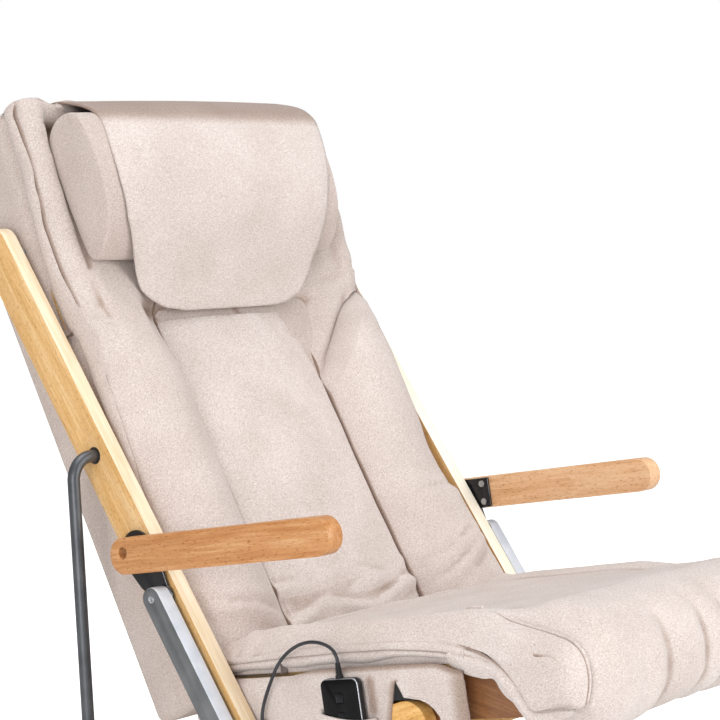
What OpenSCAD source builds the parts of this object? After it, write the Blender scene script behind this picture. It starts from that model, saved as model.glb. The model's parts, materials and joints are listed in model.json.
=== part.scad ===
// Folding massage chair with wooden side rails, a crossed leg frame and a steel prop bow.
// Millimetres, +Z up, the sitter faces -Y, and the sitter's right hand is at -X.

/* [Side rails] */
// Width over the two side rails
frame_w = 600; // [560:5:660]
// Depth of a rail, seen from the side
rail_d = 50; // [44:1:60]
// Thickness of a rail
rail_t = 21; // [18:1:24]
// Angle of the rails from the floor
rail_angle = 53.2; // [50:0.2:56]
// Height at which the rails' centre lines cross the armrest pivots' plane
datum_h = 440; // [420:5:460]
// Length of a rail above that height
rail_up = 445; // [400:5:470]

/* [Back] */
// Angle of the back from the floor
back_angle = 60.5; // [60:0.5:61]
// Width over the back's fabric
back_w = 532; // [500:2:536]
// Top of the back, measured up the back
back_top = 598; // [560:2:640]
// Bottom of the back, measured up the back
back_bottom = -178; // [-182:2:-170]
// Depth of the back from its pad's seat to the rear fabric
back_depth = 90; // [86:1:100]

/* [Seat] */
// Angle of the seat from the floor
seat_angle = 11; // [9:0.5:13]
// Distance of the seat hinge down the rail from the armrest pivot
hinge_gap = 201; // [192:1:206]
// Width over the seat's skirts
seat_w = 553; // [551:1:555]
// Length of the seat, from its hinge to the front roll's nose
seat_len = 500; // [480:5:540]
// Height of the seat pad's top over the hinge
seat_top = 68; // [62:1:72]

/* [Legs and bow] */
// Angle of the leg planks from the floor
leg_angle = 23.5; // [22:0.5:25]
// Width of a leg plank
leg_d = 54; // [48:1:56]
// Thickness of a leg plank
leg_t = 18; // [16:1:19]
// Diameter of the steel bow
bow_d = 15; // [12:0.5:16]
// Length of the bow from its hinge to its floor bar
bow_len = 414; // [412:1:416]

/* [Armrests] */
// Length of an armrest
arm_len = 348; // [320:2:380]
// Height of an armrest
arm_h = 43; // [40:1:46]
// Angle of the armrests from the floor
arm_angle = 10.6; // [8:0.2:13]
// Width of the channel link
link_w = 28; // [24:1:30]
// Offset of the armrest's pivot from the link's, along the rail
crank_t = 68.4; // [64:0.2:72]
// Offset of the armrest's pivot from the link's, across the rail
crank_n = 9.4; // [8:0.2:12]

/* [Handset] */
// Width of the handset
handset_w = 54; // [48:1:60]
// Length of the handset
handset_l = 92; // [84:1:96]
// Thickness of the handset
handset_t = 11; // [10:0.5:12]
// Diameter of the handset's cable
cable_d = 4; // [3.5:0.1:4.5]

/* [Hidden] */
$fn = 48;

fabric = "#d8ccc4";
beech = "#ddb273";
steel = "#55565a";
dark = "#242426";

half = frame_w / 2;              // outer face of a rail
rail_in = half - rail_t;         // inner face of a rail
back_half = back_w / 2;
skirt_half = seat_w / 2;
run = 0.1;                       // running clearance on a diameter
pad_h = 5;                       // rubber foot pads

// Side-plane points are [forward, height]. A frame is drawn with -y forward and z up, then tipped.
middle = 104.1;                    // from the rails' datum back to the middle of the chair's length
module at(o, a) translate([0, middle - o[0], o[1]]) rotate([-a, 0, 0]) children();
function on(o, a, s, p) = [o[0] + s * cos(a) - p * sin(a), o[1] + s * sin(a) + p * cos(a)];
// A profile in a frame's (y, z) plane, carried across the chair from x0 to x1
module across(x0, x1) translate([x0, 0, 0]) rotate([90, 0, 90]) linear_extrude(x1 - x0) children();
module rod(x0, x1, d) translate([x0, 0, 0]) rotate([0, 90, 0]) cylinder(d = d, h = x1 - x0);
module tube(x0, x1, d, bore) difference() { rod(x0, x1, d); rod(x0 - 1, x1 + 1, bore); }
module both() { children(); mirror([1, 0, 0]) children(); }
module right() mirror([1, 0, 0]) children();

datum = [0, datum_h];
// a point t up the rail's centre line and n in front of it
function rail_pt(t, n) = [-t * cos(rail_angle) + n * sin(rail_angle), datum_h + t * sin(rail_angle) + n * cos(rail_angle)];
arm_pin = rail_pt(11, -3);
seat_pin = rail_pt(11 - hinge_gap, -3);
function crank_end(o) = [o[0] + crank_t * cos(rail_angle) + crank_n * sin(rail_angle),
    o[1] - crank_t * sin(rail_angle) + crank_n * cos(rail_angle)];
leg_tip = [379.7, datum_h - 143.8];
leg_run = (leg_tip[1] - datum_h + leg_tip[0] * tan(rail_angle)) / (cos(leg_angle) * tan(rail_angle) + sin(leg_angle));
leg_pin = on(leg_tip, leg_angle, -leg_run, 0);
leg_pin_t = -leg_pin[0] / cos(rail_angle);
bow_t = 141;
bow_pin = rail_pt(bow_t, 0);
bow_lean = 4.2;
bow_out = half + 35;

arm_shank = 12;
seat_shank = 16;
leg_shank = 14;

module rail_frame() at(datum, -rail_angle) children();
module back_frame_at() at(datum, -back_angle) children();
module seat_at() at(seat_pin, seat_angle) children();
module arm_at() at(arm_pin, arm_angle) children();
module leg_at() at(leg_pin, leg_angle) children();
module bow_at() at(bow_pin, bow_lean) children();

/* ---------- side rails ---------- */
bush = 3;   // wall of a bush
function rail_cut(n) = (pad_h - datum_h - n * cos(rail_angle)) / sin(rail_angle);
module rail() {
    color(beech) difference() {
        rail_frame() across(rail_in, half) {
            polygon([[rail_up, -rail_d / 2], [rail_up, rail_d / 2], [rail_cut(rail_d / 2), rail_d / 2], [rail_cut(-rail_d / 2), -rail_d / 2]]);
            translate([rail_up, 0]) circle(d = rail_d);
        }
        at(arm_pin, 0) rod(rail_in - 1, half + 1, arm_shank + 2 * bush);
        at(seat_pin, 0) rod(rail_in - 1, half + 1, seat_shank + 2 * bush);
        at(leg_pin, 0) rod(rail_in - 1, half + 1, leg_shank + 2 * bush);
        at(bow_pin, 0) rod(rail_in - 1, half + 1, bow_d + 2 * bush);
    }
}
module rail_left() rail();
module rail_right() right() rail();

module rail_feet() color(dark) both() {
    u0 = rail_pt(rail_cut(-rail_d / 2), -rail_d / 2)[0];
    u1 = rail_pt(rail_cut(rail_d / 2), rail_d / 2)[0];
    translate([rail_in, middle - u1, 0]) cube([rail_t, u1 - u0, pad_h]);
}
module bushes() {
    at(arm_pin, 0) tube(rail_in, half, arm_shank + 2 * bush, arm_shank + run);
    at(seat_pin, 0) tube(rail_in, half, seat_shank + 2 * bush, seat_shank + run);
    at(leg_pin, 0) tube(rail_in, half, leg_shank + 2 * bush, leg_shank + run);
    at(bow_pin, 0) tube(rail_in, half, bow_d + 2 * bush, bow_d + run);
}
module pivot_bushes() color(dark) both() bushes();
module pivot_washers() color(dark) both() {
    at(arm_pin, 0) tube(half, half + 3.4, 48, 17);
    at(seat_pin, 0) tube(half, half + 3.4, 34, seat_shank + 3);
    at(leg_pin, 0) tube(rail_in - 5.6, rail_in, 25, leg_shank + 3);
}

/* ---------- back ---------- */
// The back's frame: x across, y up the back, z out of its front
pad_seat = -20;                       // where the pads start
back_rear = pad_seat - 2 - back_depth;
module outline(w, y0, y1, r) {
    translate([-w, y0]) square([2 * w, y1 - y0 - r]);
    translate([-w + r, y1 - r - 1]) square([2 * w - 2 * r, r + 1]);
    for (m = [-1, 1]) translate([m * (w - r), y1 - r]) circle(r);
}
module slab(z0, z1) translate([0, 0, z0]) linear_extrude(z1 - z0) children();

module rear_cover() color(fabric) back_frame_at() difference() {
    slab(back_rear, pad_seat - 2) outline(back_half, back_bottom, back_top - 4, 30);
    slab(back_rear + 3, pad_seat) outline(back_half - 3, back_bottom + 3, back_top - 7, 27);
    // clearance round the mounts
    for (t = mount_ts) translate([0, mount_y(t), mount_z]) rod(-back_half - 1, back_half + 1, 16);
}
mount_ts = [200, 430];
mount_z = -43;
function mount_y(t) = t * cos(rail_angle - back_angle);
board_lo = back_bottom + 34;     // inner edges of the frame's bottom and top boards
board_hi = back_top - 40;
module back_frame() color("#b9905a") back_frame_at() difference() {
    slab(-62, -26) outline(back_half - 4, back_bottom + 5, back_top - 9, 26);
    slab(-63, -25) outline(back_half - 28, board_lo, board_hi, 10);
    for (t = mount_ts) translate([0, mount_y(t), mount_z]) rod(-back_half, back_half, 14);
}
module back_mounts() color(steel) back_frame_at() both() for (t = mount_ts)
    translate([0, mount_y(t), mount_z]) rod(back_half - 26, rail_in, 14);

// A closed solid through rings of points, each ring starting at the middle of its rear side
module loft(rings) {
    n = len(rings);
    m = len(rings[0]);
    polyhedron(points = [for (r = rings) each r], faces = concat(
        [for (i = [0:n - 2], j = [0:m - 1]) let (k = (j + 1) % m) [i * m + j, i * m + k, (i + 1) * m + k]],
        [for (i = [0:n - 2], j = [0:m - 1]) let (k = (j + 1) % m) [i * m + j, (i + 1) * m + k, (i + 1) * m + j]],
        [for (j = [1:m - 2]) [0, j + 1, j]],
        [for (j = [1:m - 2]) [(n - 1) * m, (n - 1) * m + j, (n - 1) * m + j + 1]]));
}
// The same, with each end closed round a point c inside it
module loft_round(rings, c0, c1) {
    n = len(rings);
    m = len(rings[0]);
    polyhedron(points = concat([for (r = rings) each r], [c0, c1]), faces = concat(
        [for (i = [0:n - 2], j = [0:m - 1]) let (k = (j + 1) % m) each
            [[i * m + j, i * m + k, (i + 1) * m + k], [i * m + j, (i + 1) * m + k, (i + 1) * m + j]]],
        [for (j = [0:m - 1]) let (k = (j + 1) % m) each [[n * m, k, j], [n * m + 1, (n - 1) * m + j, (n - 1) * m + k]]]));
}
// A sheet between two grids of points, the second one outside the first
module sheet(a, b) {
    n = len(a);
    m = len(a[0]);
    o = n * m;
    polyhedron(points = concat([for (r = a) each r], [for (r = b) each r]), faces = concat(
        [for (i = [0:n - 2], j = [0:m - 2]) let (p = i * m + j) each
            [[o + p, o + p + m, o + p + m + 1], [o + p, o + p + m + 1, o + p + 1], [p, p + m + 1, p + m], [p, p + 1, p + m + 1]]],
        [for (j = [0:m - 2]) let (p = j, q = o - m + j) each
            [[p, o + p, o + p + 1], [p, o + p + 1, p + 1], [q, o + q + 1, o + q], [q, q + 1, o + q + 1]]],
        [for (i = [0:n - 2]) let (p = i * m, q = p + m - 1) each
            [[p, o + p + m, o + p], [p, p + m, o + p + m], [q, o + q, o + q + m], [q, o + q + m, q + m]]]));
}
function smooth(a, b, x) = let (k = max(0, min(1, (x - a) / (b - a)))) k * k * (3 - 2 * k);
// One ring of a pad: flat at the rear, a low band at each side, a crowned face of n strips
function pad_ring(y, x0, x1, z0, ze, face, n) = concat(
    [[(x0 + x1) / 2, y, z0], [x1, y, z0], [x1 + 1.5, y, (z0 + ze) / 2]],
    [for (i = [0:n]) let (x = x1 + (x0 - x1) * i / n) [x, y, i == 0 || i == n ? ze : face(x, y)]],
    [[x0 - 1.5, y, (z0 + ze) / 2], [x0, y, z0]]);

crease = -122;       // where the back's face meets the seat, up the back
waist = 290;         // where the wings start
panel_half = 127;    // half width of the quilted panel
gap = 1.7;           // between the padded fields of the face, where their cloth is sewn down
touch = 0.3;         // between faces that lie against each other
function edge_z(y) = lookup(y, [[-180, 8], [0, 10], [179, 11], [240, 22], [269, 28], [300, 20], [331, 12], [401, 6], [517, 22], [600, 24]]);
function seam_z(y) = lookup(y, [[-130, 18], [-79, 12], [31, 8], [138, 6], [209, 2], [314, -5], [600, 4]]);
function field_z(y) = lookup(y, [[waist, 11], [345, 15], [378, 24.4], [562, 24.4], [600, 18]]);
function end_soft(y, y0, y1, r) = smooth(y0 - 4, y0 + r, y) * smooth(y1 + 4, y1 - r, y);

// upper pad: a low field behind the pillow between two raised sides
upper = function (x, y) let (side = smooth(232, 244, abs(x)) * smooth(268, 258, abs(x)))
    pad_seat + (field_z(y) + 14 * side * smooth(300, 420, y) - pad_seat) * end_soft(y, waist, back_top, 16);
module upper_back_pad() color(fabric) back_frame_at() loft([for (i = [0:16])
    let (y = waist + touch + (back_top - waist - touch) * i / 16)
    pad_ring(y, -back_half + 2, back_half - 2, pad_seat, pad_seat + (edge_z(y) - pad_seat) * end_soft(y, waist, back_top, 12), upper, 30)]);

// quilted panel with two long channels and crossing stitch lines
quilt = function (x, y) seam_z(y) + 7 * (1 - pow(abs(x) / panel_half, 4))
    - 4 * smooth(14, 2, abs(abs(x) - 42)) - 1.5 * abs(sin(1.7 * y + 2 * abs(x)));
module centre_panel() color(fabric) back_frame_at() loft([for (i = [0:26])
    let (y = crease + (waist - gap - crease) * i / 26)
    pad_ring(y, -panel_half + gap, panel_half - gap, pad_seat, seam_z(y), quilt, 30)]);

// puffed wings beside the panel
wing_face = function (x, y) let (k = (x - panel_half) / (back_half - 2 - panel_half), e = end_soft(y, crease, waist, 26))
    (seam_z(y) * (1 - k) + edge_z(y) * k) * e + lookup(y, [[crease, 14], [0, 26], [220, 30], [waist, 24]]) * e * pow(sin(180 * k), 0.6);
module wing() color(fabric) back_frame_at() loft([for (i = [0:18])
    let (y = crease + (waist - crease) * i / 18, e = end_soft(y, crease, waist, 26))
    pad_ring(y, panel_half + gap, back_half - 2, pad_seat, pad_seat + (edge_z(y) - pad_seat) * e, wing_face, 12)]);
module wing_left() wing();
module wing_right() right() wing();

// head pillow: a bolster with a flat rear, and its flap hung over the back's top
flap_half = 198;
pillow_near = 231;                 // how far the pillow's two ends lie from the middle
pillow_far = flap_half - 2;
pillow_y = 468;
function bolster(a, k) = [pillow_y + 92 * k * cos(a) * pow(abs(cos(a)), -0.2), 61 + 36 * k * sin(a) * pow(abs(sin(a)), -0.1)];
module head_pillow() color(fabric) back_frame_at() loft([for (i = [0:12])
    let (x = (pillow_far - pillow_near - (pillow_far + pillow_near) * cos(180 * i / 12)) / 2, k = i == 0 || i == 12 ? 0.86 : 1)
    [for (j = [0:19]) let (q = bolster(-90 - 18 * j + 0.01, k)) [x, q[0], q[1]]]]);
flap_t = 3;
function flap_path(k) = [[560, back_rear - 0.6], [back_top - 3.3, back_rear - 0.6], [back_top + 0.6, back_rear + 8],
    [back_top + 0.6, 20], [594, 48], [582, 68], [562, 82], [537, 91], [507, 97], [468, 98.2], [430, 96.2], [400, 89.5],
    [382.5, 79], [366, 66], [347 + 16 * k, 42 + 8 * k], [318 + 40 * k, 27 + 6 * k]];
module pillow_flap() color(fabric) back_frame_at() {
    rows = [for (i = [0:14]) let (x = -flap_half + 2 * flap_half * i / 14)
        [for (q = flap_path(pow(abs(x) / flap_half, 5))) [x, q[0], q[1]]]];
    n = len(rows[0]);
    sheet(rows, [for (w = rows) [for (j = [0:n - 1]) let (a = w[max(j - 1, 0)], b = w[min(j + 1, n - 1)], d = norm(b - a))
        w[j] + flap_t / d * [0, (b - a)[2], (a - b)[1]]]]);
}

/* ---------- massage gear inside the back ---------- */
rod_x = 120;
rod_z = -75;
rod_d = 12;
screw_d = 14;
track_y0 = -100;
track_y1 = 500;
travel = 300;
car_y = 20;        // carriage's place at the bottom of its travel
car_l = 96;
shaft_z = -44;
module along(x, y0, y1, z, d) translate([x, y0, z]) rotate([-90, 0, 0]) cylinder(d = d, h = y1 - y0);
module guide_rods() color("#b8babd") back_frame_at() for (m = [-1, 1]) along(m * rod_x, track_y0, track_y1, rod_z, rod_d);
module rod_blocks() color(steel) back_frame_at() {
    for (y = [track_y0 - 4, track_y1 - 20]) difference() {
        translate([-238, y, rod_z - 14]) cube([476, 24, 13]);
        along(0, y - 1, y + 25, rod_z - 10, screw_d + 2);
        for (m = [-1, 1]) along(m * rod_x, y - 1, y + 25, rod_z, rod_d);
    }
    for (y = [track_y0 - 4, track_y1 - 20], m = [-1, 1]) difference() {
        translate([m * rod_x - 13, y, rod_z - 1]) cube([26, 24, 14]);
        along(m * rod_x, y - 1, y + 25, rod_z, rod_d);
    }
    // straps and blocks that carry them from the frame's bottom and top boards
    for (m = [-1, 1]) {
        translate([m * 226 - 12, board_lo - 20, rod_z - 14]) cube([24, track_y0 - board_lo + 17, 13]);
        translate([m * 226 - 12, board_lo - 20, rod_z - 1.5]) cube([24, 17, -62.3 - rod_z + 1.5]);
        translate([m * 226 - 12, track_y1 + 3, rod_z - 14]) cube([24, board_hi - track_y1 + 17, 13]);
        translate([m * 226 - 12, board_hi + 3, rod_z - 1.5]) cube([24, 17, -62.3 - rod_z + 1.5]);
    }
}
module lift_motor() color(dark) back_frame_at() difference() {
    union() {
        translate([-30, track_y0 - 42, rod_z - 26]) cube([60, 34, 40]);
        along(62, track_y0 - 42, track_y0 - 8, rod_z - 4, 44);
        translate([28, track_y0 - 30, rod_z - 20]) cube([36, 18, 28]);
    }
    along(0, track_y0 - 12, track_y0, rod_z - 10, screw_d + 2);
}
module lead_screw() color("#a9abae") back_frame_at() {
    along(0, track_y0 - 11, track_y1 + 2, rod_z - 10, screw_d);
}
module massage_carriage() color("#3a3b3e") back_frame_at() difference() {
    union() {
        difference() {
            translate([-150, car_y, rod_z - 20]) cube([300, car_l, 34]);
            translate([-96, car_y + 14, rod_z + 4]) cube([192, car_l - 28, 12]);
        }
        for (x = [-60, 38]) translate([x, car_y + 30, rod_z + 3]) cube([22, 36, shaft_z - rod_z + 9]);
    }
    for (m = [-1, 1]) along(m * rod_x, car_y - 1, car_y + car_l + 1, rod_z, rod_d + run);
    along(0, car_y - 1, car_y + car_l + 1, rod_z - 10, screw_d + run);
    translate([0, car_y + 48, shaft_z]) rod(-70, 70, 12 + run);
}
module knead_motor() color(dark) back_frame_at() {
    translate([-28, car_y + 18, rod_z + 4.2]) cube([56, 10, 18]);
    translate([0, car_y + 23, rod_z + 20]) rod(-24, 24, 20);
}
module knead_shaft() color("#b8babd") back_frame_at() translate([0, car_y + 48, shaft_z]) {
    rod(-112, 112, 12);
    for (m = [-1, 1]) translate([m * 26, 0, 0]) rod(-7, 7, 30);
}
// a forked arm on the shaft with two rollers
module massage_arm() color("#2f3033") back_frame_at() translate([0, car_y + 48, shaft_z]) {
    difference() {
        union() {
            rod(84, 104, 26);
            translate([86, -62, -4]) cube([16, 124, 9]);
            for (m = [-1, 1]) translate([0, m * 60, 4]) rod(76, 112, 22);
        }
        rod(80, 108, 12 + run);
    }
}
module massage_arm_left() massage_arm();
module massage_arm_right() right() massage_arm();

/* ---------- leg frame ---------- */
leg_in = 255;
function leg_cut(z) = (leg_pin[1] - pad_h + z * cos(leg_angle)) / sin(leg_angle);
leg_tail = leg_cut(0) + 3;   // end of a plank, just past where its middle meets the floor
module bow_notch() bow_at() translate([leg_in - 1, -bow_d / 2 - 0.8, -bow_len - bow_d / 2 - 0.3]) cube([leg_t + 2, 60, 40]);
module leg_plank() color(beech) difference() {
    leg_at() across(leg_in, leg_in + leg_t) {
        polygon([[leg_cut(-leg_d / 2), -leg_d / 2], [leg_tail, (leg_tail - leg_cut(0)) * tan(leg_angle)],
            [leg_tail, leg_d / 2], [-leg_run, leg_d / 2], [-leg_run, -leg_d / 2]]);
        translate([-leg_run, 0]) circle(d = leg_d);
    }
    at(leg_pin, 0) rod(leg_in - 1, leg_in + leg_t + 1, leg_shank);
    bow_notch();
}
module leg_plank_left() leg_plank();
module leg_plank_right() right() leg_plank();
module leg_crossbars() color(beech) leg_at() {
    translate([-leg_in, 130, -9]) cube([2 * leg_in, leg_d * 0.81, leg_t]);
    translate([-leg_in, leg_tail - 112, 1 - leg_t / 2]) cube([2 * leg_in, leg_d * 1.11, leg_t]);
}
module leg_rod() color(steel) at(leg_pin, 0) {
    rod(-half - 2, half + 2, leg_shank);
    both() rod(half + 0.5, half + 4.5, 24);
}
module leg_feet() color(dark) both() {
    u1 = leg_pin[0] - leg_cut(-leg_d / 2) * cos(leg_angle) + leg_d / 2 * sin(leg_angle);
    translate([leg_in, middle - u1, 0]) cube([leg_t, 62, pad_h]);
}

/* ---------- prop bow ---------- */
bend_top = 28;
bend_low = 45;
module bend(r, a0) rotate([90, 0, 0]) rotate_extrude(angle = 90, start = a0) translate([r, 0]) circle(d = bow_d);
module prop_bow() color(steel) bow_at() {
    both() {
        rod(rail_in - 4, bow_out - bend_top, bow_d);
        translate([bow_out - bend_top, 0, -bend_top]) bend(bend_top, 0);
        translate([bow_out, 0, -bow_len + bend_low]) cylinder(d = bow_d, h = bow_len - bend_low - bend_top);
        translate([bow_out - bend_low, 0, -bow_len + bend_low]) bend(bend_low, 270);
    }
    translate([0, 0, -bow_len]) rod(-bow_out + bend_low, bow_out - bend_low, bow_d);
}

/* ---------- seat ---------- */
seat_in = 250;
base_z = -40;
board_z = 14;
pad_z = 26;         // underside of the seat pad
pad_s0 = 85;        // rear end of the seat pad's firm part
roll_s0 = seat_len - 100;   // where the front roll starts
module seat_frame() color("#b9905a") seat_at() difference() {
    translate([-seat_in, -roll_s0 - 10, base_z]) cube([2 * seat_in, roll_s0 + 36, board_z - base_z]);
    translate([-seat_in + 22, -roll_s0 + 12, base_z - 1]) cube([2 * seat_in - 44, roll_s0 - 14, board_z - base_z + 2]);
    rod(-seat_in - 1, seat_in + 1, seat_shank);
}
module seat_board() color("#c9a878") seat_at() translate([-seat_in, -roll_s0 - 10, board_z]) cube([2 * seat_in, roll_s0 + 34, 10]);
module seat_shafts() color(steel) seat_at() both() rod(seat_in - 24, half + 6.8, seat_shank);
module seat_rests() color(dark) seat_at() both() translate([seat_in, -285, -13.4]) cube([22, 40, 26]);
module crank_shape(r) {
    e = crank_end([0, 0]);
    a = atan2(e[1], e[0]);
    circle(r);
    translate([-e[0], e[1]]) circle(r - 2);
    q = r - 0.1;
    polygon([[-q * sin(a), q * cos(a)], [q * sin(a), -q * cos(a)],
        [-e[0] + (q - 2) * sin(a), e[1] - (q - 2) * cos(a)], [-e[0] - (q - 2) * sin(a), e[1] + (q - 2) * cos(a)]]);
}
plate0 = half + 3.8;
plate1 = half + 6.8;
module seat_cranks() color(dark) both() at(seat_pin, 0) difference() {
    across(plate0, plate1) crank_shape(17);
    rod(plate0 - 1, plate1 + 1, seat_shank);
    e = crank_end([0, 0]);
    translate([0, -e[0], e[1]]) rod(plate0 - 1, plate1 + 1, 8 + run);
}
// fabric skirt beside the seat, with the slit that the leg plank's end shows through
skirt_z = -74;
skirt_s1 = roll_s0 - 8;
module skirt_shape() difference() {
    union() {
        translate([-skirt_s1, skirt_z]) square([skirt_s1 - 4, 25 - skirt_z]);
        translate([-4, 0]) intersection() { circle(74); translate([0, -74]) square([60, 99]); }
    }
    polygon([[-257, 10], [-232, -75], [-330, -75], [-298, -44], [-278, -18], [-262, -14]]);
    circle(d = seat_shank + 4);
}
module skirt() {
    across(skirt_half - 2.5, skirt_half) skirt_shape();
    // hem turned in under the pad's edge, against the board
    translate([seat_in + 0.3, -skirt_s1 + 6, pad_z - 3.1]) cube([skirt_half - seat_in - 1, skirt_s1 - 6 - pad_s0, 2.6]);
}
module seat_skirt_left() color(fabric) seat_at() skirt();
module seat_skirt_right() color(fabric) seat_at() difference() {
    right() skirt();
    translate([0, -cable_in[0], cable_in[1]]) rod(-skirt_half - 1, -skirt_half + 4, grommet_d);
}
cable_in = [55, -36.5];        // where the cable goes in through the skirt
grommet_d = 13;

// seat pad: a thin edge band and a crowned top
function seat_edge(y) = 46;
seat_crown = function (x, y) seat_top - 20 * pow(abs(x) / 268, 6) + 3 * cos(1.2 * x) - 2 * smooth(10, 2, abs(abs(x) - 127));
module seat_pad() color(fabric) seat_at() loft([for (i = [0:12])
    let (y = -roll_s0 + gap + (roll_s0 - gap - pad_s0) * i / 12)
    pad_ring(y, -268, 268, pad_z, seat_edge(y), seat_crown, 30)]);
// front roll: five lobes side by side, the outer ones shallower
roll_half = 262;
function drop(x) = -34 - 42 * smooth(214, 190, abs(x)) + 22 * smooth(70, 20, abs(x));
function lobe(x) = 7 * pow(abs(cos(180 * x / 104 + 90 * 0)), 0.7) - 5;
function roll_ring(x) = let (g = lobe(x), d = drop(x), n = seat_len - 8 + g, e = smooth(roll_half + 3, roll_half - 14, abs(x)),
        t = 50 + (seat_top - 50) * e)
    [[-roll_s0, 28], [-roll_s0 - 11, 24.2], [-roll_s0 - 24, -6], [-roll_s0 - 28, d * 0.6], [-roll_s0 - 30, d + 4], [-roll_s0 - 44, d],
        [-roll_s0 - 70, d + 2 - g], [-n + 12, d + 10], [-n + 4, d + 26], [-n, d * 0.25], [-n + 1, 12], [-n + 8, 30],
        [-n + 24, t - 20], [-n + 46, t - 8], [-n + 68, t - 1], [-roll_s0 - 12, t], [-roll_s0, t - 1]];
module front_roll() color(fabric) seat_at() loft_round([for (i = [0:36]) let (x = -roll_half + 2 * roll_half * i / 36)
    [for (q = roll_ring(x)) [x, q[0], q[1]]]], [-roll_half, -roll_s0 - 55, 10], [roll_half, -roll_s0 - 55, 10]);
module corner_roll() color(fabric) seat_at() loft([for (i = [0:12]) let (x = -262 + 524 * i / 12)
    [for (j = [0:11]) let (a = -90 - 30 * j) [x, -38 - 44 * cos(a), 45 + 20.6 * sin(a)]]]);

module control_box() color("#e8e6e2") seat_at() difference() {
    translate([-90, -210, base_z + 2]) cube([180, 140, board_z - base_z - 2]);
    translate([-87, -207, base_z + 5]) cube([174, 134, board_z - base_z - 8]);
    translate([40, -190, base_z - 1]) cube([27, 20, 8]);
}
module power_inlet() color(dark) seat_at() difference() {
    translate([40, -190, base_z - 2]) cube([27, 20, 22]);
    translate([43, -187, base_z - 3]) cube([21, 14, 16]);
}

/* ---------- handset in its pocket ---------- */
handset_s = 187;     // centre of the handset along the seat
handset_z = -30.5;   // and across it
hand_x = -skirt_half - 1.2;   // rear face of the handset
module slim(w, l, r, x0, x1) across(x0, x1) for (i = [-1, 1]) {
    square([w, l - 2 * r], center = true);
    square([w - 2 * r, l], center = true);
    for (j = [-1, 1]) translate([i * (w / 2 - r), j * (l / 2 - r)]) circle(r);
}
module hand_at() seat_at() translate([0, -handset_s, handset_z]) children();
button_z = [25, 4, -18];
module handset_case() color("#b9bbc0") hand_at() difference() {
    slim(handset_w, handset_l, 8, hand_x - handset_t + 2, hand_x);
    slim(handset_w - 5, handset_l - 5, 6, hand_x - handset_t + 1, hand_x - 2);
}
module handset_face() color("#0c0c0e") hand_at() difference() {
    slim(handset_w - 2, handset_l - 2, 7, hand_x - handset_t, hand_x - handset_t + 1.8);
    for (z = button_z) translate([hand_x - handset_t - 1, -5.5, z - 5.5]) cube([4, 11, 11]);
}
module button(z) color("#2a2a2e") hand_at() {
    translate([hand_x - handset_t - 0.4, -5.2, z - 5.2]) cube([2.8, 10.4, 10.4]);
    translate([hand_x - handset_t + 2.1, -6.5, z - 6.5]) cube([1.2, 13, 13]);
}
module power_button() button(button_z[0]);
module mode_button() button(button_z[1]);
module level_button() button(button_z[2]);
// pocket: a panel in front of the handset's lower half, closed below and at both sides
module handset_pocket() color(fabric) seat_at() difference() {
    translate([-skirt_half - 16, -handset_s - 40, -82]) cube([16, 80, 60]);
    translate([-skirt_half - 13.4, -handset_s - 30, -79]) cube([13.4, 60, 60]);
}
module strain_relief() color(dark) hand_at() translate([hand_x - handset_t / 2 - 0.5, 0, handset_l / 2]) difference() {
    union() {
        cylinder(d = 9, h = 3);
        for (i = [1:5]) translate([0, 0, 2.8 * i]) cylinder(d = 8.4 - 0.5 * i, h = 2);
        cylinder(d = 5.6, h = 17);
    }
    translate([0, 0, 8]) cylinder(d = cable_d + 0.3, h = 20);
}
// cable: hand-chosen points [x, forward, up] in the seat's frame, smoothed and swept
cable_pts = [[-283.5, 187, 24], [-283.5, 187, 31], [-283.5, 186.6, 38], [-283.5, 183, 46], [-283.5, 174, 52.5], [-283.5, 160, 56.5], [-283.5, 145, 57],
    [-283.5, 128, 53.5], [-283.5, 110, 45], [-283.5, 95, 33], [-283.5, 83, 18], [-283.5, 72, 2], [-283, 63, -13],
    [-282, 58, -25], [-279.5, 56, -33], [-275, 55.2, -36], [-268, 55, -36.5], [-259, 55, -36.5], [-250.4, 55, -36.5]];
function catmull(p, i, t) = let (a = p[max(i - 1, 0)], b = p[i], c = p[i + 1], d = p[min(i + 2, len(p) - 1)])
    0.5 * (2 * b + (c - a) * t + (2 * a - 5 * b + 4 * c - d) * t * t + (3 * b - a - 3 * c + d) * t * t * t);
function cross_dir(v) = v / norm(v);
cable_line = concat([for (i = [0:len(cable_pts) - 2], t = [0, 0.34, 0.67]) catmull(cable_pts, i, t)], [cable_pts[len(cable_pts) - 1]]);
module handset_cable() color("#2b2c30") seat_at() loft([for (i = [0:len(cable_line) - 1])
    let (a = cable_line[max(i - 1, 0)], b = cable_line[min(i + 1, len(cable_line) - 1)], w = cross_dir(b - a),
        g = cross_dir(cross(w, [0.3, 0, 1])), h = cross(w, g), c = cable_line[i])
    [for (j = [0:7]) let (q = c + cable_d / 2 * (cos(45 * j) * g + sin(45 * j) * h)) [q[0], -q[1], q[2]]]]);
module cable_grommet() color(dark) seat_at() translate([0, -cable_in[0], cable_in[1]]) difference() {
    union() { rod(-skirt_half - 1.2, -skirt_half, grommet_d + 4); rod(-skirt_half - 1.2, -skirt_half + 3.6, grommet_d - 0.1); }
    rod(-skirt_half - 2, -skirt_half + 4, cable_d + 4);
}

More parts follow.
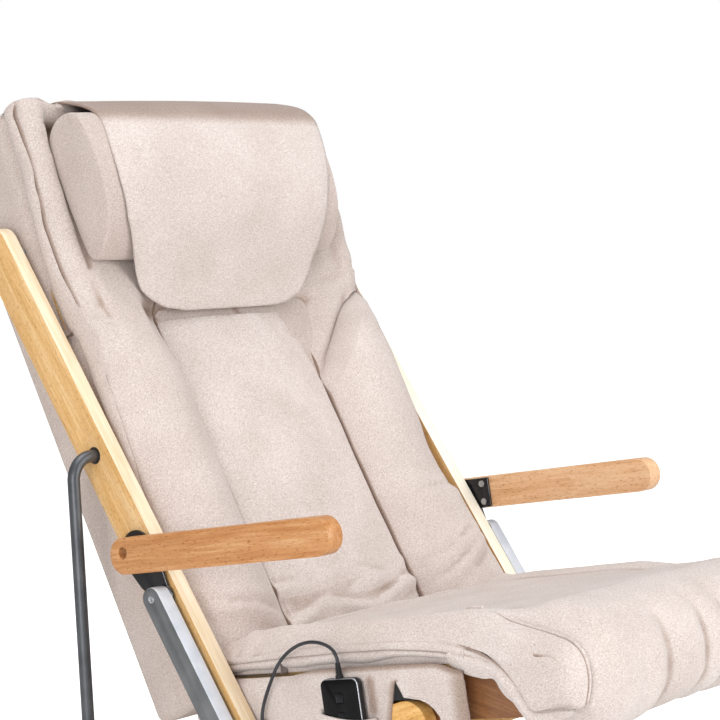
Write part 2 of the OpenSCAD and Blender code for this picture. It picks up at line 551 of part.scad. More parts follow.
/* ---------- armrests, plates and channel links ---------- */
arm_z = -4;                        // armrest's centre line under its pivot
arm_out = half + 26;
arm_step = 205;                    // where the armrest grows thicker
module armrest() color("#d39c62") arm_at() difference() {
    intersection() {
        across(half - 2, arm_out + 1) translate([0, arm_z]) {
            r = arm_h / 2;
            translate([-arm_len + 2 * r, -r]) square([arm_len - 2 * r, arm_h]);
            circle(r);
            translate([-arm_len + 2 * r, 0]) circle(r);
        }
        translate([0, 0, -60]) linear_extrude(120) polygon([[arm_out, 30], [arm_out, -arm_len], [half + 2.4, -arm_len],
            [half + 2.4, -arm_step - 8], [plate1, -arm_step + 12], [plate1, 30]]);
    }
    rod(half, arm_out + 1, 14);
    arm_screw_holes();
}
module arm_screw_holes() for (z = screw_z) translate([0, -49.5, z]) rod(plate0 - 1, plate1 + 10, 4);
screw_z = [8, -16.5];
module armrest_left() armrest();
module armrest_right() right() armrest();
module arm_plate() color(dark) arm_at() difference() {
    across(plate0, plate1) {
        polygon([[14, -24], [14, 6], [6, 16], [-60, 16], [-60, -24], [-42, -25], [-52, -62],
            [link_pin_y(arm_angle) + 13, link_pin_z(arm_angle) - 4], [-4, -45], [12, -25]]);
        translate([link_pin_y(arm_angle), link_pin_z(arm_angle)]) circle(15);
    }
    rod(plate0 - 1, plate1 + 1, arm_shank);
    arm_screw_holes();
    translate([0, link_pin_y(arm_angle), link_pin_z(arm_angle)]) rod(plate0 - 1, plate1 + 1, 8 + run);
}
// the crank end's place in a frame tipped by a
function link_pin_y(a) = let (e = crank_end([0, 0])) -(e[0] * cos(a) + e[1] * sin(a));
function link_pin_z(a) = let (e = crank_end([0, 0])) e[1] * cos(a) - e[0] * sin(a);
module arm_plate_left() arm_plate();
module arm_plate_right() right() arm_plate();
// pivot bolt with its head inside the armrest's hole, and two screws through the plate
module arm_bolts() color("#8d9095") arm_at() {
    rod(rail_in - 3, plate1 + 0.2, arm_shank);
    difference() { rod(plate1, plate1 + 8, 13); rod(plate1 + 4, plate1 + 9, 6); }
    rod(rail_in - 5, rail_in - 0.4, 19);
    for (z = screw_z) translate([0, -49.5, z]) { rod(plate0 - 2, plate0, 9); rod(plate0 - 1, plate1 + 10, 4); }
}
module arm_bolts_left() arm_bolts();
module arm_bolts_right() right() arm_bolts();

// channel: a U section with rounded ends, open towards the rail
link0 = plate1 + 0.3;
link1 = half + 26.8;
module stadium(l, r) { translate([-l, -r]) square([l, 2 * r]); circle(r); translate([-l, 0]) circle(r); }
module link_at() at(crank_end(arm_pin), -rail_angle) children();
module link() color("#9a9b98") link_at() difference() {
    across(link0, link1) stadium(hinge_gap, link_w / 2);
    across(link0 - 1, link1 - 2) stadium(hinge_gap, link_w / 2 - 2);
    for (y = [0, -hinge_gap]) translate([0, y, 0]) rod(link1 - 3, link1 + 1, 8);
}
module link_left() link();
module link_right() right() link();
module link_pins() color("#c0c2c4") link_at() for (y = [0, -hinge_gap]) translate([0, y, 0]) difference() {
    union() { rod(plate0, link1 - 0.4, 8); rod(plate0 - 1.8, plate0 - 0.2, 12); rod(link0, link1 - 2, 14); }
    rod(link1 - 3, link1 + 1, 4);
}
module link_pins_left() link_pins();
module link_pins_right() right() link_pins();

rail_right();
rail_left();
rail_feet();
pivot_bushes();
pivot_washers();
back_frame();
back_mounts();
rear_cover();
upper_back_pad();
centre_panel();
wing_right();
wing_left();
head_pillow();
pillow_flap();
guide_rods();
rod_blocks();
lift_motor();
lead_screw();
massage_carriage();
knead_motor();
knead_shaft();
massage_arm_right();
massage_arm_left();
leg_plank_right();
leg_plank_left();
leg_crossbars();
leg_rod();
leg_feet();
prop_bow();
seat_frame();
seat_board();
seat_shafts();
seat_cranks();
seat_rests();
seat_skirt_right();
seat_skirt_left();
seat_pad();
front_roll();
corner_roll();
control_box();
power_inlet();
handset_pocket();
handset_case();
handset_face();
power_button();
mode_button();
level_button();
strain_relief();
handset_cable();
cable_grommet();
armrest_right();
armrest_left();
arm_plate_right();
arm_plate_left();
arm_bolts_right();
arm_bolts_left();
link_right();
link_left();
link_pins_right();
link_pins_left();
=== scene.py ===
# Folding massage chair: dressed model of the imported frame. Metres, +Z up, the sitter faces -Y.
import json
from math import copysign, cos, exp, floor, hypot, pi, radians, sin, sqrt

import bmesh
import bpy
import numpy as np
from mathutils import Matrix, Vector, noise


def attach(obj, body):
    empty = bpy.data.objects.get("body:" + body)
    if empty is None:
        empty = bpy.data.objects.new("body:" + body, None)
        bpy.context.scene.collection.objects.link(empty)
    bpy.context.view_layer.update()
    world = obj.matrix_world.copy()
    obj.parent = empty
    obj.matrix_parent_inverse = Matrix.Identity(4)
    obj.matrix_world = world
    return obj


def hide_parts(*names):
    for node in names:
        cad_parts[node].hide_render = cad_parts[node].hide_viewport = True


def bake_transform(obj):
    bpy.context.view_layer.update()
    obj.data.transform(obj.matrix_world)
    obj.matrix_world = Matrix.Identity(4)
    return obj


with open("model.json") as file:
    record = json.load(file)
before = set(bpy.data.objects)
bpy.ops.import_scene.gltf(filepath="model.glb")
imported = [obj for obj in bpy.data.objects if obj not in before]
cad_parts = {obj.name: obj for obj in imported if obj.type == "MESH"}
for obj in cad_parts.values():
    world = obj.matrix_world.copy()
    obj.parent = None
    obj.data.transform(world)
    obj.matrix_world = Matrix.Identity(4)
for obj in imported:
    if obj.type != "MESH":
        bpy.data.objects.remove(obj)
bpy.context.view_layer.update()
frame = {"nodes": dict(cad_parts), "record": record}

# ---------- the chair's own frames, in millimetres ----------
MID = 104.1
BACK_TILT, SEAT_TILT, RAIL_TILT, LEG_TILT, ARM_TILT = 60.5, 11.0, 53.2, 23.5, 10.6    # degrees from the floor
BACK, SEAT, RAIL = radians(BACK_TILT), radians(SEAT_TILT), radians(RAIL_TILT)
SEAT_PIN = (111.4123, 286.064)
DATUM = 440      # height of the back's own origin


def side(x, u, v):
    """A point from the side plane: u forward, v up."""
    return Vector((x, MID - u, v)) / 1000


def on_back(x, s, p):
    """A point s up the back and p out of its front."""
    return side(x, -s * cos(BACK) + p * sin(BACK), DATUM + s * sin(BACK) + p * cos(BACK))


def on_seat(x, s, p):
    """A point s forward along the seat and p above it."""
    return side(x, SEAT_PIN[0] + s * cos(SEAT) - p * sin(SEAT), SEAT_PIN[1] + s * sin(SEAT) + p * cos(SEAT))


def show(name, data):
    """A new object in the scene, at the origin."""
    o = bpy.data.objects.new(name, data)
    bpy.context.scene.collection.objects.link(o)
    return o


# ---------- camera ----------
cam = show("camera", bpy.data.cameras.new("camera"))
cam.location = (-2.0337, -1.825 + MID / 1000, 0.891)
cam.rotation_euler = Vector((0.7556, 0.6492, -0.0868)).to_track_quat("-Z", "Y").to_euler()
cam.data.sensor_width = 36
cam.data.lens = 2151.7 / 720 * 36
cam.data.clip_end = 60
bpy.context.scene.camera = cam


# ---------- finishes ----------
def tone(code):
    """sRGB hex to linear colour."""
    rgb = [int(code[i:i + 2], 16) / 255 for i in (1, 3, 5)]
    return tuple(c / 12.92 if c <= 0.04045 else ((c + 0.055) / 1.055) ** 2.4 for c in rgb) + (1,)


def add(mat, kind, inputs=None, links=None, **settings):
    """One node with its settings, its input values and its links from other nodes' sockets."""
    n = mat.node_tree.nodes.new(kind)
    for key, value in settings.items():
        setattr(n, key, value)
    for key, value in (inputs or {}).items():
        n.inputs[key].default_value = value
    for key, (source, socket) in (links or {}).items():
        mat.node_tree.links.new(source.outputs[socket], n.inputs[key])
    return n


def finish(name, **inputs):
    """A new material with one Principled shader; inputs are given with underscores for spaces."""
    mat = bpy.data.materials.new(name)
    mat.use_nodes = True
    mat.node_tree.nodes.clear()
    shader = add(mat, "ShaderNodeBsdfPrincipled", {k.replace("_", " "): v for k, v in inputs.items()})
    add(mat, "ShaderNodeOutputMaterial", links={"Surface": (shader, "BSDF")})
    return mat, shader


def join(mat, source, socket, target, key):
    mat.node_tree.links.new(source.outputs[socket], target.inputs[key])


MULTIPLIED = {"data_type": "RGBA", "blend_type": "MULTIPLY"}    # settings of a node that lays one colour over another


def ramp(mat, source, socket, stops):
    n = add(mat, "ShaderNodeValToRGB", links={"Fac": (source, socket)})
    n.color_ramp.elements[0].position, n.color_ramp.elements[0].color = stops[0]
    n.color_ramp.elements[1].position, n.color_ramp.elements[1].color = stops[-1]
    for at, colour in stops[1:-1]:
        n.color_ramp.elements.new(at).color = colour
    return n


def linen(name, tilt):
    """Heathered oatmeal linen-look upholstery cloth, plain woven: matt, with a soft sheen at grazing angles.
    Real yarn is 0.5 mm; the flecks are drawn 2 to 4 mm long so that they show from a step away."""
    mat, shader = finish(name, Roughness=0.92, Sheen_Weight=0.25, Sheen_Roughness=0.5, Specular_IOR_Level=0.2)
    where = add(mat, "ShaderNodeTexCoord")
    along = add(mat, "ShaderNodeMapping", {"Rotation": (radians(tilt), 0, 0)}, {"Vector": (where, "Object")})
    yarns = []
    for stretch, count in (((1, 0.45, 1), 900), ((0.45, 1, 1), 820)):
        run = add(mat, "ShaderNodeMapping", {"Scale": stretch}, {"Vector": (along, "Vector")})
        yarns.append(add(mat, "ShaderNodeTexNoise", {"Scale": count, "Detail": 2, "Roughness": 0.6}, {"Vector": (run, "Vector")}))
    broad = add(mat, "ShaderNodeTexNoise", {"Scale": 14, "Detail": 3}, {"Vector": (along, "Vector")})
    both = add(mat, "ShaderNodeMath", operation="ADD", links={0: (yarns[0], "Fac"), 1: (yarns[1], "Fac")})
    fleck = ramp(mat, add(mat, "ShaderNodeMath", {1: 0.5}, {0: (both, "Value")}, operation="MULTIPLY"), "Value",
                 [(0.34, tone("#B5A7A0")), (0.46, tone("#CCC0BA")), (0.54, tone("#D8CDC8")), (0.68, tone("#EAE2DE"))])
    wide = ramp(mat, broad, "Fac", [(0.3, tone("#F2EFED")), (0.7, tone("#FFFFFF"))])
    mix = add(mat, "ShaderNodeMix", {"Factor": 1.0}, {6: (fleck, "Color"), 7: (wide, "Color")}, **MULTIPLIED)
    # painted shade: seams and folds are drawn browner, where shade falls in them
    fold = add(mat, "ShaderNodeAttribute", attribute_name="fold")
    fold_shade = ramp(mat, fold, "Fac", [(0.0, tone("#9C887A")), (0.28, tone("#D5C9C1")), (0.46, tone("#FFFFFF"))])
    deep = add(mat, "ShaderNodeMix", {"Factor": 1.0}, {6: (mix, 2), 7: (fold_shade, "Color")}, **MULTIPLIED)
    join(mat, deep, 2, shader, "Base Color")
    cross, down = (add(mat, "ShaderNodeTexWave", {"Scale": 320, "Distortion": 1.2, "Detail": 1}, {"Vector": (along, "Vector")},
                       bands_direction=way) for way in "XY")
    weave = add(mat, "ShaderNodeMath", operation="ADD", links={0: (cross, "Fac"), 1: (down, "Fac")})
    height = add(mat, "ShaderNodeMath", operation="ADD", links={0: (weave, "Value"), 1: (both, "Value")})
    bump = add(mat, "ShaderNodeBump", {"Strength": 0.35, "Distance": 0.0004}, {"Height": (height, "Value")})
    join(mat, bump, "Normal", shader, "Normal")
    return mat


def timber(name, tilt, dark, mid, light, edge=None, lit_face_way=None):
    """Oiled beech: a fine straight grain along the piece with short dark rays, and a thin satin oil film."""
    mat, shader = finish(name, Roughness=0.42, Coat_Weight=0.12, Coat_Roughness=0.25, Specular_IOR_Level=0.4)
    where = add(mat, "ShaderNodeTexCoord")
    along = add(mat, "ShaderNodeMapping", {"Rotation": (-radians(tilt), 0, 0)}, {"Vector": (where, "Object")})
    long = add(mat, "ShaderNodeMapping", {"Scale": (1, 0.06, 1)}, {"Vector": (along, "Vector")})
    grain = add(mat, "ShaderNodeTexNoise", {"Scale": 260, "Detail": 5, "Roughness": 0.62, "Distortion": 0.4}, {"Vector": (long, "Vector")})
    band = add(mat, "ShaderNodeTexNoise", {"Scale": 38, "Detail": 3, "Distortion": 0.8}, {"Vector": (long, "Vector")})
    ray = add(mat, "ShaderNodeMapping", {"Scale": (1, 0.22, 1)}, {"Vector": (along, "Vector")})
    rays = add(mat, "ShaderNodeTexNoise", {"Scale": 700, "Detail": 1}, {"Vector": (ray, "Vector")})
    total = add(mat, "ShaderNodeMath", operation="ADD", links={0: (grain, "Fac"), 1: (band, "Fac")})
    half = add(mat, "ShaderNodeMath", {1: 0.5}, {0: (total, "Value")}, operation="MULTIPLY")
    body = ramp(mat, half, "Value", [(0.36, tone(dark)), (0.5, tone(mid)), (0.64, tone(light))])
    fleck = ramp(mat, rays, "Fac", [(0.25, tone("#C9A98A")), (0.42, tone("#FFFFFF"))])
    colour = add(mat, "ShaderNodeMix", {"Factor": 0.8}, {6: (body, "Color"), 7: (fleck, "Color")}, **MULTIPLIED)
    if edge:
        # painted highlight: faces turned to the front of the rail, where the lamps strike, are drawn paler
        face = add(mat, "ShaderNodeVectorMath", {1: lit_face_way}, {0: (where, "Normal")}, operation="DOT_PRODUCT")
        lit_share = ramp(mat, face, "Value", [(0.35, (0, 0, 0, 1)), (0.8, (1, 1, 1, 1))])
        lit_edge_colour = ramp(mat, half, "Value", [(0.36, tone(edge[0])), (0.62, tone(edge[1]))])
        colour = add(mat, "ShaderNodeMix", links={0: (lit_share, "Color"), 6: (colour, 2), 7: (lit_edge_colour, "Color")}, data_type="RGBA")
    join(mat, colour, 2, shader, "Base Color")
    bump = add(mat, "ShaderNodeBump", {"Strength": 0.12, "Distance": 0.0003}, {"Height": (grain, "Fac")})
    join(mat, bump, "Normal", shader, "Normal")
    return mat


def grained(name, colour, other, grit, bump, metal, rough, gloss=0.5):
    """Moulded, powder-coated or satin-ground surface: a fine grit in the coat, and a faint drift in its shade."""
    mat, shader = finish(name, Metallic=metal, Roughness=rough, Specular_IOR_Level=gloss)
    where = add(mat, "ShaderNodeTexCoord")
    coat = add(mat, "ShaderNodeTexNoise", {"Scale": grit, "Detail": 2}, {"Vector": (where, "Object")})
    drift = add(mat, "ShaderNodeTexNoise", {"Scale": 30, "Detail": 3}, {"Vector": (where, "Object")})
    join(mat, ramp(mat, drift, "Fac", [(0.35, tone(colour)), (0.65, tone(other))]), "Color", shader, "Base Color")
    uneven = add(mat, "ShaderNodeBump", {"Strength": bump, "Distance": 0.0002}, {"Height": (coat, "Fac")})
    join(mat, uneven, "Normal", shader, "Normal")
    return mat


FRONT_OF_RAIL = (0, -sin(RAIL), cos(RAIL))
# cloth: matt and heathered, its weave square to the piece it covers
cloth_back = linen("woven_linen_back", -BACK_TILT)
cloth_seat = linen("woven_linen_seat", SEAT_TILT)
# golden beech, its front faces drawn paler as a painted highlight; on the far rail nearly white, as painted light
beech_rail = timber("oiled_beech_rail", RAIL_TILT, "#C89856", "#DCB075", "#EAC996", ("#D6BA92", "#F0E0C6"), FRONT_OF_RAIL)
beech_rail_far = timber("beech_rail_far_lit_edge", RAIL_TILT, "#C89856", "#DCB075", "#EAC996", ("#EFE4CE", "#FFF9EC"), FRONT_OF_RAIL)
beech_leg = timber("oiled_beech_leg", -LEG_TILT, "#C58F48", "#D9A862", "#E8C083")  # the yellowest wood
beech_arm_far_lit = timber("lit_beech_armrest", -ARM_TILT, "#CB9A6B", "#DDAF84", "#E8C39C")  # painted light: drawn lighter and pinker, as its inner face is lit
beech_frame_shaded = timber("shaded_beech_frame", SEAT_TILT, "#6E4526", "#7E5230", "#93653F")  # painted shade: drawn dark brown, as the frame lies in shade under the seat
beech_arm_shaded = timber("shaded_beech_armrest", -ARM_TILT, "#B0743F", "#C38B58", "#D4A87A")  # painted shade: drawn darker and redder, as its outer face is in shade
plywood = timber("bare_plywood", 0, "#B08A58", "#C9A878", "#D8BC90")  # dry and dull
bow_coat = grained("powder_coated_steel", "#4C4E52", "#5B5D61", 1200, 0.08, 0.55, 0.38)  # dark grey, soft glint
plate_coat = grained("black_coated_plate", "#17171A", "#222226", 1200, 0.06, 0.3, 0.35)  # black, satin
shaft_steel = grained("ground_steel", "#B9BBBE", "#C9CBCD", 1500, 0.04, 1.0, 0.28)  # bright, clean glint
link_face_shaded = grained("alloy_face_shaded", "#77787A", "#858688", 1500, 0.05, 0.85, 0.42)  # painted reflection: the side faces are drawn dark grey, as they reflect the dark surroundings
link_edge_lit = grained("alloy_edge_lit", "#D2D7E0", "#E4E8EF", 1500, 0.03, 0.25, 0.3)  # painted highlight: the front faces and edges are drawn pale, where they catch the light
zinc = grained("zinc_plated_steel", "#9FA1A4", "#B5B7BA", 1500, 0.05, 0.9, 0.34)  # cloudy grey
gear_black = grained("moulded_nylon", "#2B2C2F", "#35363A", 900, 0.1, 0.0, 0.55)  # charcoal, fine pitting
rubber = grained("moulded_rubber", "#161616", "#202020", 1100, 0.12, 0.0, 0.8)  # black, no shine
bush_black = grained("acetal_bush", "#1B1512", "#2A211B", 1100, 0.05, 0.0, 0.4)  # warm black, waxy
abs_white = grained("moulded_abs_white", "#DEDCD8", "#E8E6E2", 1000, 0.08, 0.0, 0.5)  # off-white, eggshell
case_silver = grained("silver_lacquered_abs", "#A9ACB2", "#BFC2C8", 1500, 0.03, 0.7, 0.25)  # thin silver rim
case_dark = grained("black_lacquered_abs", "#141517", "#1B1C1F", 1500, 0.03, 0.0, 0.35)  # black, half gloss
glass_black = grained("gloss_black_face", "#040405", "#08080A", 2000, 0.0, 0.0, 0.12, 0.18)  # deep black mirror
key_black = grained("gloss_black_key", "#0D0D10", "#131316", 1500, 0.02, 0.0, 0.3, 0.25)  # just lighter than the face
sleeve = grained("cable_sleeve", "#232428", "#303238", 1500, 0.08, 0.0, 0.45)  # grey-black, soft sheen


# ---------- shaping tools ----------
def level(points, t, smooth=False):
    """A reading between the rows of a short table, straight or smooth."""
    for (a, va), (b, vb) in zip(points, points[1:]):
        if t <= b:
            k = max(0, t - a) / (b - a)
            return va + (vb - va) * (k * k * (3 - 2 * k) if smooth else k)
    return points[-1][1]


def table(points, t):
    return level(points, t, True)


def ease(a, b, t):
    k = min(1, max(0, (t - a) / (b - a)))
    return k * k * (3 - 2 * k)


def bell(t, width):
    return exp(-(t / width) ** 2)


def ripple(x, y, z, size, seed=0.0):
    """Soft unevenness of a given size in millimetres, about -1 to 1."""
    return noise.noise(Vector((x / size + seed, y / size - seed, z / size + 2 * seed)))


def mark_folds(bm, turns=10, depth=3.0):
    """Stores how deep each point lies in a fold or seam: 0 at the bottom of one, 0.5 on the flat, 1 on a ridge; the
    cloth is drawn browner where it is low, as painted shade.
    """
    store = bm.verts.layers.float.new("fold")
    bmesh.ops.recalc_face_normals(bm, faces=bm.faces[:])
    bm.normal_update()
    bm.verts.index_update()
    bm.verts.ensure_lookup_table()
    at = np.array([v.co for v in bm.verts])
    out = np.array([v.normal for v in bm.verts])
    ends = np.array([[v.index for v in e.verts] for e in bm.edges])
    # each separate sheet bulges outward, so that tells its outer side
    label = np.arange(len(at))
    while True:
        low = np.minimum(label[ends[:, 0]], label[ends[:, 1]])
        before = label.copy()
        np.minimum.at(label, ends[:, 0], low)
        np.minimum.at(label, ends[:, 1], low)
        label = label[label]
        if (label == before).all():
            break
    for k in np.unique(label):
        own = label == k
        if ((at[own] - at[own].mean(0)) * out[own]).sum() < 0:
            out[own] *= -1
    mean, links = at.copy(), np.bincount(ends.ravel(), minlength=len(at))[:, None]
    for _ in range(turns):
        near = [np.bincount(ends[:, 0], mean[ends[:, 1], k], len(at)) + np.bincount(ends[:, 1], mean[ends[:, 0], k], len(at))
                for k in range(3)]
        mean = 0.5 * mean + 0.5 * np.stack(near, 1) / links
    low = ((mean - at) * out).sum(1) * 1000
    for v, d in zip(bm.verts, low):
        v[store] = min(1, max(0, 0.5 - d / (2 * depth)))


def new_piece(name, bm, mat, body, slot, nodes=()):
    mesh = bpy.data.meshes.new(name)
    if mat in (cloth_back, cloth_seat) and not bm.verts.layers.float.get("fold"):
        mark_folds(bm)
    bm.to_mesh(mesh)
    bm.free()
    for f in mesh.polygons:
        f.use_smooth = True
    o = show(name, mesh)
    for m in mat if isinstance(mat, (list, tuple)) else [mat]:
        mesh.materials.append(m)
    if body:
        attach(o, body)
    if nodes:
        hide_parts(*nodes)
    return o


def patch(bm, columns, rows, place):
    """A grid whose lines are given by two lists, laid on a form by place(column, row)."""
    made = bmesh.ops.create_grid(bm, x_segments=len(columns) - 1, y_segments=len(rows) - 1, size=0.5)["verts"]
    for v in made:
        i = round((v.co.x + 0.5) * (len(columns) - 1))
        j = round((v.co.y + 0.5) * (len(rows) - 1))
        v.co = place(columns[i], rows[j])
    return made


def weld(bm, reach):
    bmesh.ops.remove_doubles(bm, verts=bm.verts[:], dist=reach / 1000)


def seal(bm, reach):
    """Closes a form: doubles merged, holes filled, faces turned outwards."""
    weld(bm, reach)
    bmesh.ops.holes_fill(bm, edges=[e for e in bm.edges if e.is_boundary], sides=0)
    bmesh.ops.recalc_face_normals(bm, faces=bm.faces[:])


def thicken(o, mm):
    """Gives a sheet its cloth's thickness, half to each side."""
    cloth = o.modifiers.new("thickness", "SOLIDIFY")
    cloth.thickness, cloth.offset = mm / 1000, 0


def spread(a, b, step, near=(), fine=1.0, reach=6.0):
    """Grid lines from a to b: about step apart, and fine apart within reach of each seam in near."""
    out, t = [a], a
    while t < b - 1e-6:
        d = min([abs(t - n) for n in near] or [1e9])
        w = fine if d < reach else min(step, fine + (d - reach) * 0.5 + 0.3)
        for n in near:
            if t < n - 1e-6 < t + w:
                w = n - t
        t = min(b, t + max(w, 0.1 * step))
        out.append(t)
    if len(out) > 2 and out[-1] - out[-2] < 0.4 * fine:
        del out[-2]
    return out


def flat_rear(bm, origin, out, p):
    """Walls from a face patch's open rim back to a flat rear at height p along out from the origin."""
    mark_folds(bm)
    made = bmesh.ops.extrude_edge_only(bm, edges=[e for e in bm.edges if e.is_boundary])["geom"]
    for v in made:
        if isinstance(v, bmesh.types.BMVert):
            v.co = v.co - out * ((v.co - origin).dot(out) - p / 1000)
    seal(bm, 0.01)


def dressed(node, mat, slot, bevel, segments=2, edge=None):
    """A copy of a rigid CAD solid with its triangles merged and its edges eased, in a second finish if one is given."""
    src = frame["nodes"][node]
    bm = bmesh.new()
    bm.from_mesh(src.data)
    bmesh.ops.remove_doubles(bm, verts=bm.verts[:], dist=0.00002)
    bmesh.ops.dissolve_limit(bm, angle_limit=radians(1.0), verts=bm.verts[:], edges=bm.edges[:])
    sharp = [e for e in bm.edges if len(e.link_faces) == 2 and e.calc_face_angle(0) > radians(30)]
    eased = bmesh.ops.bevel(bm, geom=sharp, offset=bevel / 1000, segments=segments, affect="EDGES", profile=0.5, material=-1,
                            clamp_overlap=True)
    for f in eased["faces"] if edge else []:
        f.material_index = 1
    o = new_piece(node + "_eased", bm, [mat, edge] if edge else mat, BODY[node], slot, [node])
    o.data.set_sharp_from_angle(angle=radians(38))
    return o


BODY = {n: b for b, nodes in frame["record"]["behaviour"]["bodies"].items() for n in nodes}
SLOT = {s["node"]: s["material_slot"] for s in frame["record"]["subparts"]}

# ---------- handset cable: the part's own route, smoothed ----------
ROUTE = [(-283.5, 187, 24), (-283.5, 187, 31), (-283.5, 186.6, 38), (-283.5, 183, 46), (-283.5, 174, 52.5), (-283.5, 160, 56.5),
         (-283.5, 145, 57), (-283.5, 128, 53.5), (-283.5, 110, 45), (-283.5, 95, 33), (-283.5, 83, 18), (-283.5, 72, 2), (-283, 63, -13),
         (-282, 58, -25), (-279.5, 56, -33), (-275, 55.2, -36), (-268, 55, -36.5), (-259, 55, -36.5), (-250.4, 55, -36.5)]


def cable():
    curve = bpy.data.curves.new("handset_lead", "CURVE")
    curve.dimensions = "3D"
    curve.bevel_depth = 0.002
    curve.bevel_resolution = 5
    curve.resolution_u = 8
    curve.use_fill_caps = True
    spline = curve.splines.new("BEZIER")
    spline.bezier_points.add(len(ROUTE) - 1)
    spots = [on_seat(*p) for p in ROUTE]
    for i, (b, at) in enumerate(zip(spline.bezier_points, spots)):
        back, ahead = spots[max(i - 1, 0)], spots[min(i + 1, len(spots) - 1)]
        way = (ahead - back) / (6 if 0 < i < len(spots) - 1 else 3)
        b.co, b.handle_left, b.handle_right = at, at - way, at + way
    o = show("handset_lead", curve)
    curve.materials.append(sleeve)
    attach(o, "seat")
    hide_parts("handset_cable")


cable()

# ---------- the back's face: heights over the back's own plane ----------
HALF = 264.0      # front seam, out from the middle
PANEL = 127.0     # seams beside the quilted panel
PAD_REAR = -28    # the pads' flat rear
OUT_OF_BACK = Vector((0, -sin(BACK), cos(BACK)))
TOP = 602.0
CREASE = -130.0
VALLEY = [(-130, 14), (-89, 12), (-41, 10), (26, 6), (114, 3), (174, 1), (247, -5), (312, -8), (345, 4), (375, 20), (600, 20)]
EDGE = [(-130, 14), (-60, 8), (0, 3), (82, 3), (131, 9), (180, 12), (223, 14), (250, 24), (277, 28), (305, 19), (334, 11), (378, 5),
        (433, 6), (480, 17), (517, 26), (583, 26), (602, 36)]
EDGE_FAR = [(-136, 50), (-60, 40), (0, 32), (18, 18), (75, 12), (136, 18), (211, 18), (240, 17), (262, 15), (299, 14), (326, 9), (378, 6),
            (433, 8), (480, 17), (517, 26), (583, 26), (602, 36)]
WING = [(-130, 30), (-90, 38), (-40, 42), (30, 43), (120, 43), (200, 42), (250, 39), (300, 32)]
WING_FAR = [(-136, 66), (-90, 60), (-54, 56), (0, 54), (16, 46), (40, 40), (75, 39), (110, 43), (211, 45), (262, 42), (300, 34), (325, 24)]
FIELD = [(205, 2), (260, 6), (312, 9), (336, 15), (360, 22), (378, 23.6), (590, 23.6), (602, 30)]
SHOULDER = [(200, 42), (250, 39), (300, 32.5), (345, 26), (378, 23.6), (562, 23.6), (576, 40), (592, 46), (602, 39)]
RIDGE_NEAR = [(290, 26), (326, 22), (375, 22), (404, 23), (438, 26), (482, 32), (530, 38), (565, 44), (590, 49), (602, 42)]
RIDGE = [(290, 18), (326, 17), (375, 31), (438, 43), (482, 55), (530, 57), (575, 54), (593, 50), (602, 42)]
REAR = [(-180, -15), (120, -14), (200, -13), (284, -14), (316, -23), (347, -24), (404, -17), (462, -8), (508, 0), (548, 5), (600, 9)]


def wing_top(x):
    """Where a wing's upper seam runs: straight across at the right, swept down beside the panel at the left."""
    if x < 0:
        return 300.0
    k = min(1, max(0, (x - PANEL) / (HALF - PANEL)))
    return 199 + 126 * (1 - (1 - k) ** 1.6) ** 1.15


def edge_at(x, s):
    return table(EDGE if x < 0 else EDGE_FAR, s)


def top_dip(x):
    """The top edge sags a little between the corner and the flap."""
    return 7 * bell(x + 205, 13)


def half_width(s):
    r = 9
    return HALF - (r - sqrt(max(0, r * r - max(0, s - (TOP - r)) ** 2)))


def panel_height(x, s):
    v = table(VALLEY, s)
    k = min(1, abs(x) / PANEL)
    h = v + 11 * (1 - k ** 2.6) - 2 * bell(PANEL - abs(x), 5) - 0.9 * bell(PANEL - 7 - abs(x), 1.4)
    # quilting: slanting stitch lines both ways make tall diamonds
    turns = [((x + way * s * 0.62) / 62) % 1 for way in (1, -1)]
    near = min(min(t, 1 - t) for t in turns) * 62
    h -= 0.9 * bell(near, 9) * ease(PANEL, PANEL - 18, abs(x)) * ease(-60, 20, s)
    # slack folds where the panel turns into the seat
    low = ease(-40, -105, s)
    if low > 0:
        folds = ((-62, 9, 7, 0.16, 0), (-82, 8, 6.5, -0.10, 1.4), (-98, 8, 7.5, 0.22, 2.6), (-116, 8, 7, 0.05, 4.0))
        for at, wide, high, lean, shift in folds:
            bend = 7 * sin(x / 33.0 + shift) + lean * x
            h += low * high * bell(s - at - bend, wide) * max(0, 0.5 + 0.9 * ripple(x, s, at, 55, 3 + shift))
    return h + 0.9 * ripple(x, s, 0, 70, 1)


def wing_height(x, s):
    a = abs(x)
    k = min(1, max(0, (a - PANEL) / (HALF - PANEL)))
    v, e, b = table(VALLEY, s), edge_at(x, s), table(WING if x < 0 else WING_FAR, s)
    q = max(0, (k - 0.5) / 0.5)
    inner = v + (b - v) * sin(min(1, k / 0.5) * pi / 2) ** 0.8
    outer = e + (b - e) * (cos(q * pi / 2) ** 0.85 if x < 0 else (1 - q ** 2.6) ** 0.8)
    h = inner if k < 0.5 else outer
    d = wing_top(x) - s
    if x > 0:
        # drawn down at the upper seam
        h -= (h - (v + (e - v) * k) + 7) * (1 - min(1, max(0, d) / 26) ** 0.5) if d < 26 else 0
    else:
        h += (upper_height(x, s, False) - h) * ease(235, 345, s)
    h -= 2.5 * bell(a - PANEL, 4)
    # pulled folds beside the crease
    low = ease(0, -70, s)
    folds = ((-74, 0.36, 3.5, 8), (-98, 0.42, 5, 8), (-122, 0.48, 5.5, 9)) if x > 0 else ((-86, 0.20, 4.5, 9), (-114, 0.30, 5, 8))
    for at, lean, high, wide in folds:
        h += low * high * bell(s - at - lean * (a - 150), wide) * ease(PANEL, PANEL + 22, a) * ease(HALF, HALF - 18, a)
    return h + 1.3 * ripple(x, s, 0, 75, 2) + 0.5 * ripple(x, s, 0, 26, 5) + pulls(x, s)


def pulls(x, s):
    """Fine creases spreading from the corner of the outer seam at the right."""
    d = HALF - abs(x)
    if x > -PANEL or not 180 < s < 360:
        return 0
    return sum(high * bell(s - 303 - lean * d, 3.0 + 0.06 * d) * ease(1, 12, d) * ease(92, 30, d)
               for lean, high in ((-0.75, 0.9), (-0.32, 1.5), (-0.02, 1.4), (0.35, 1.0)))


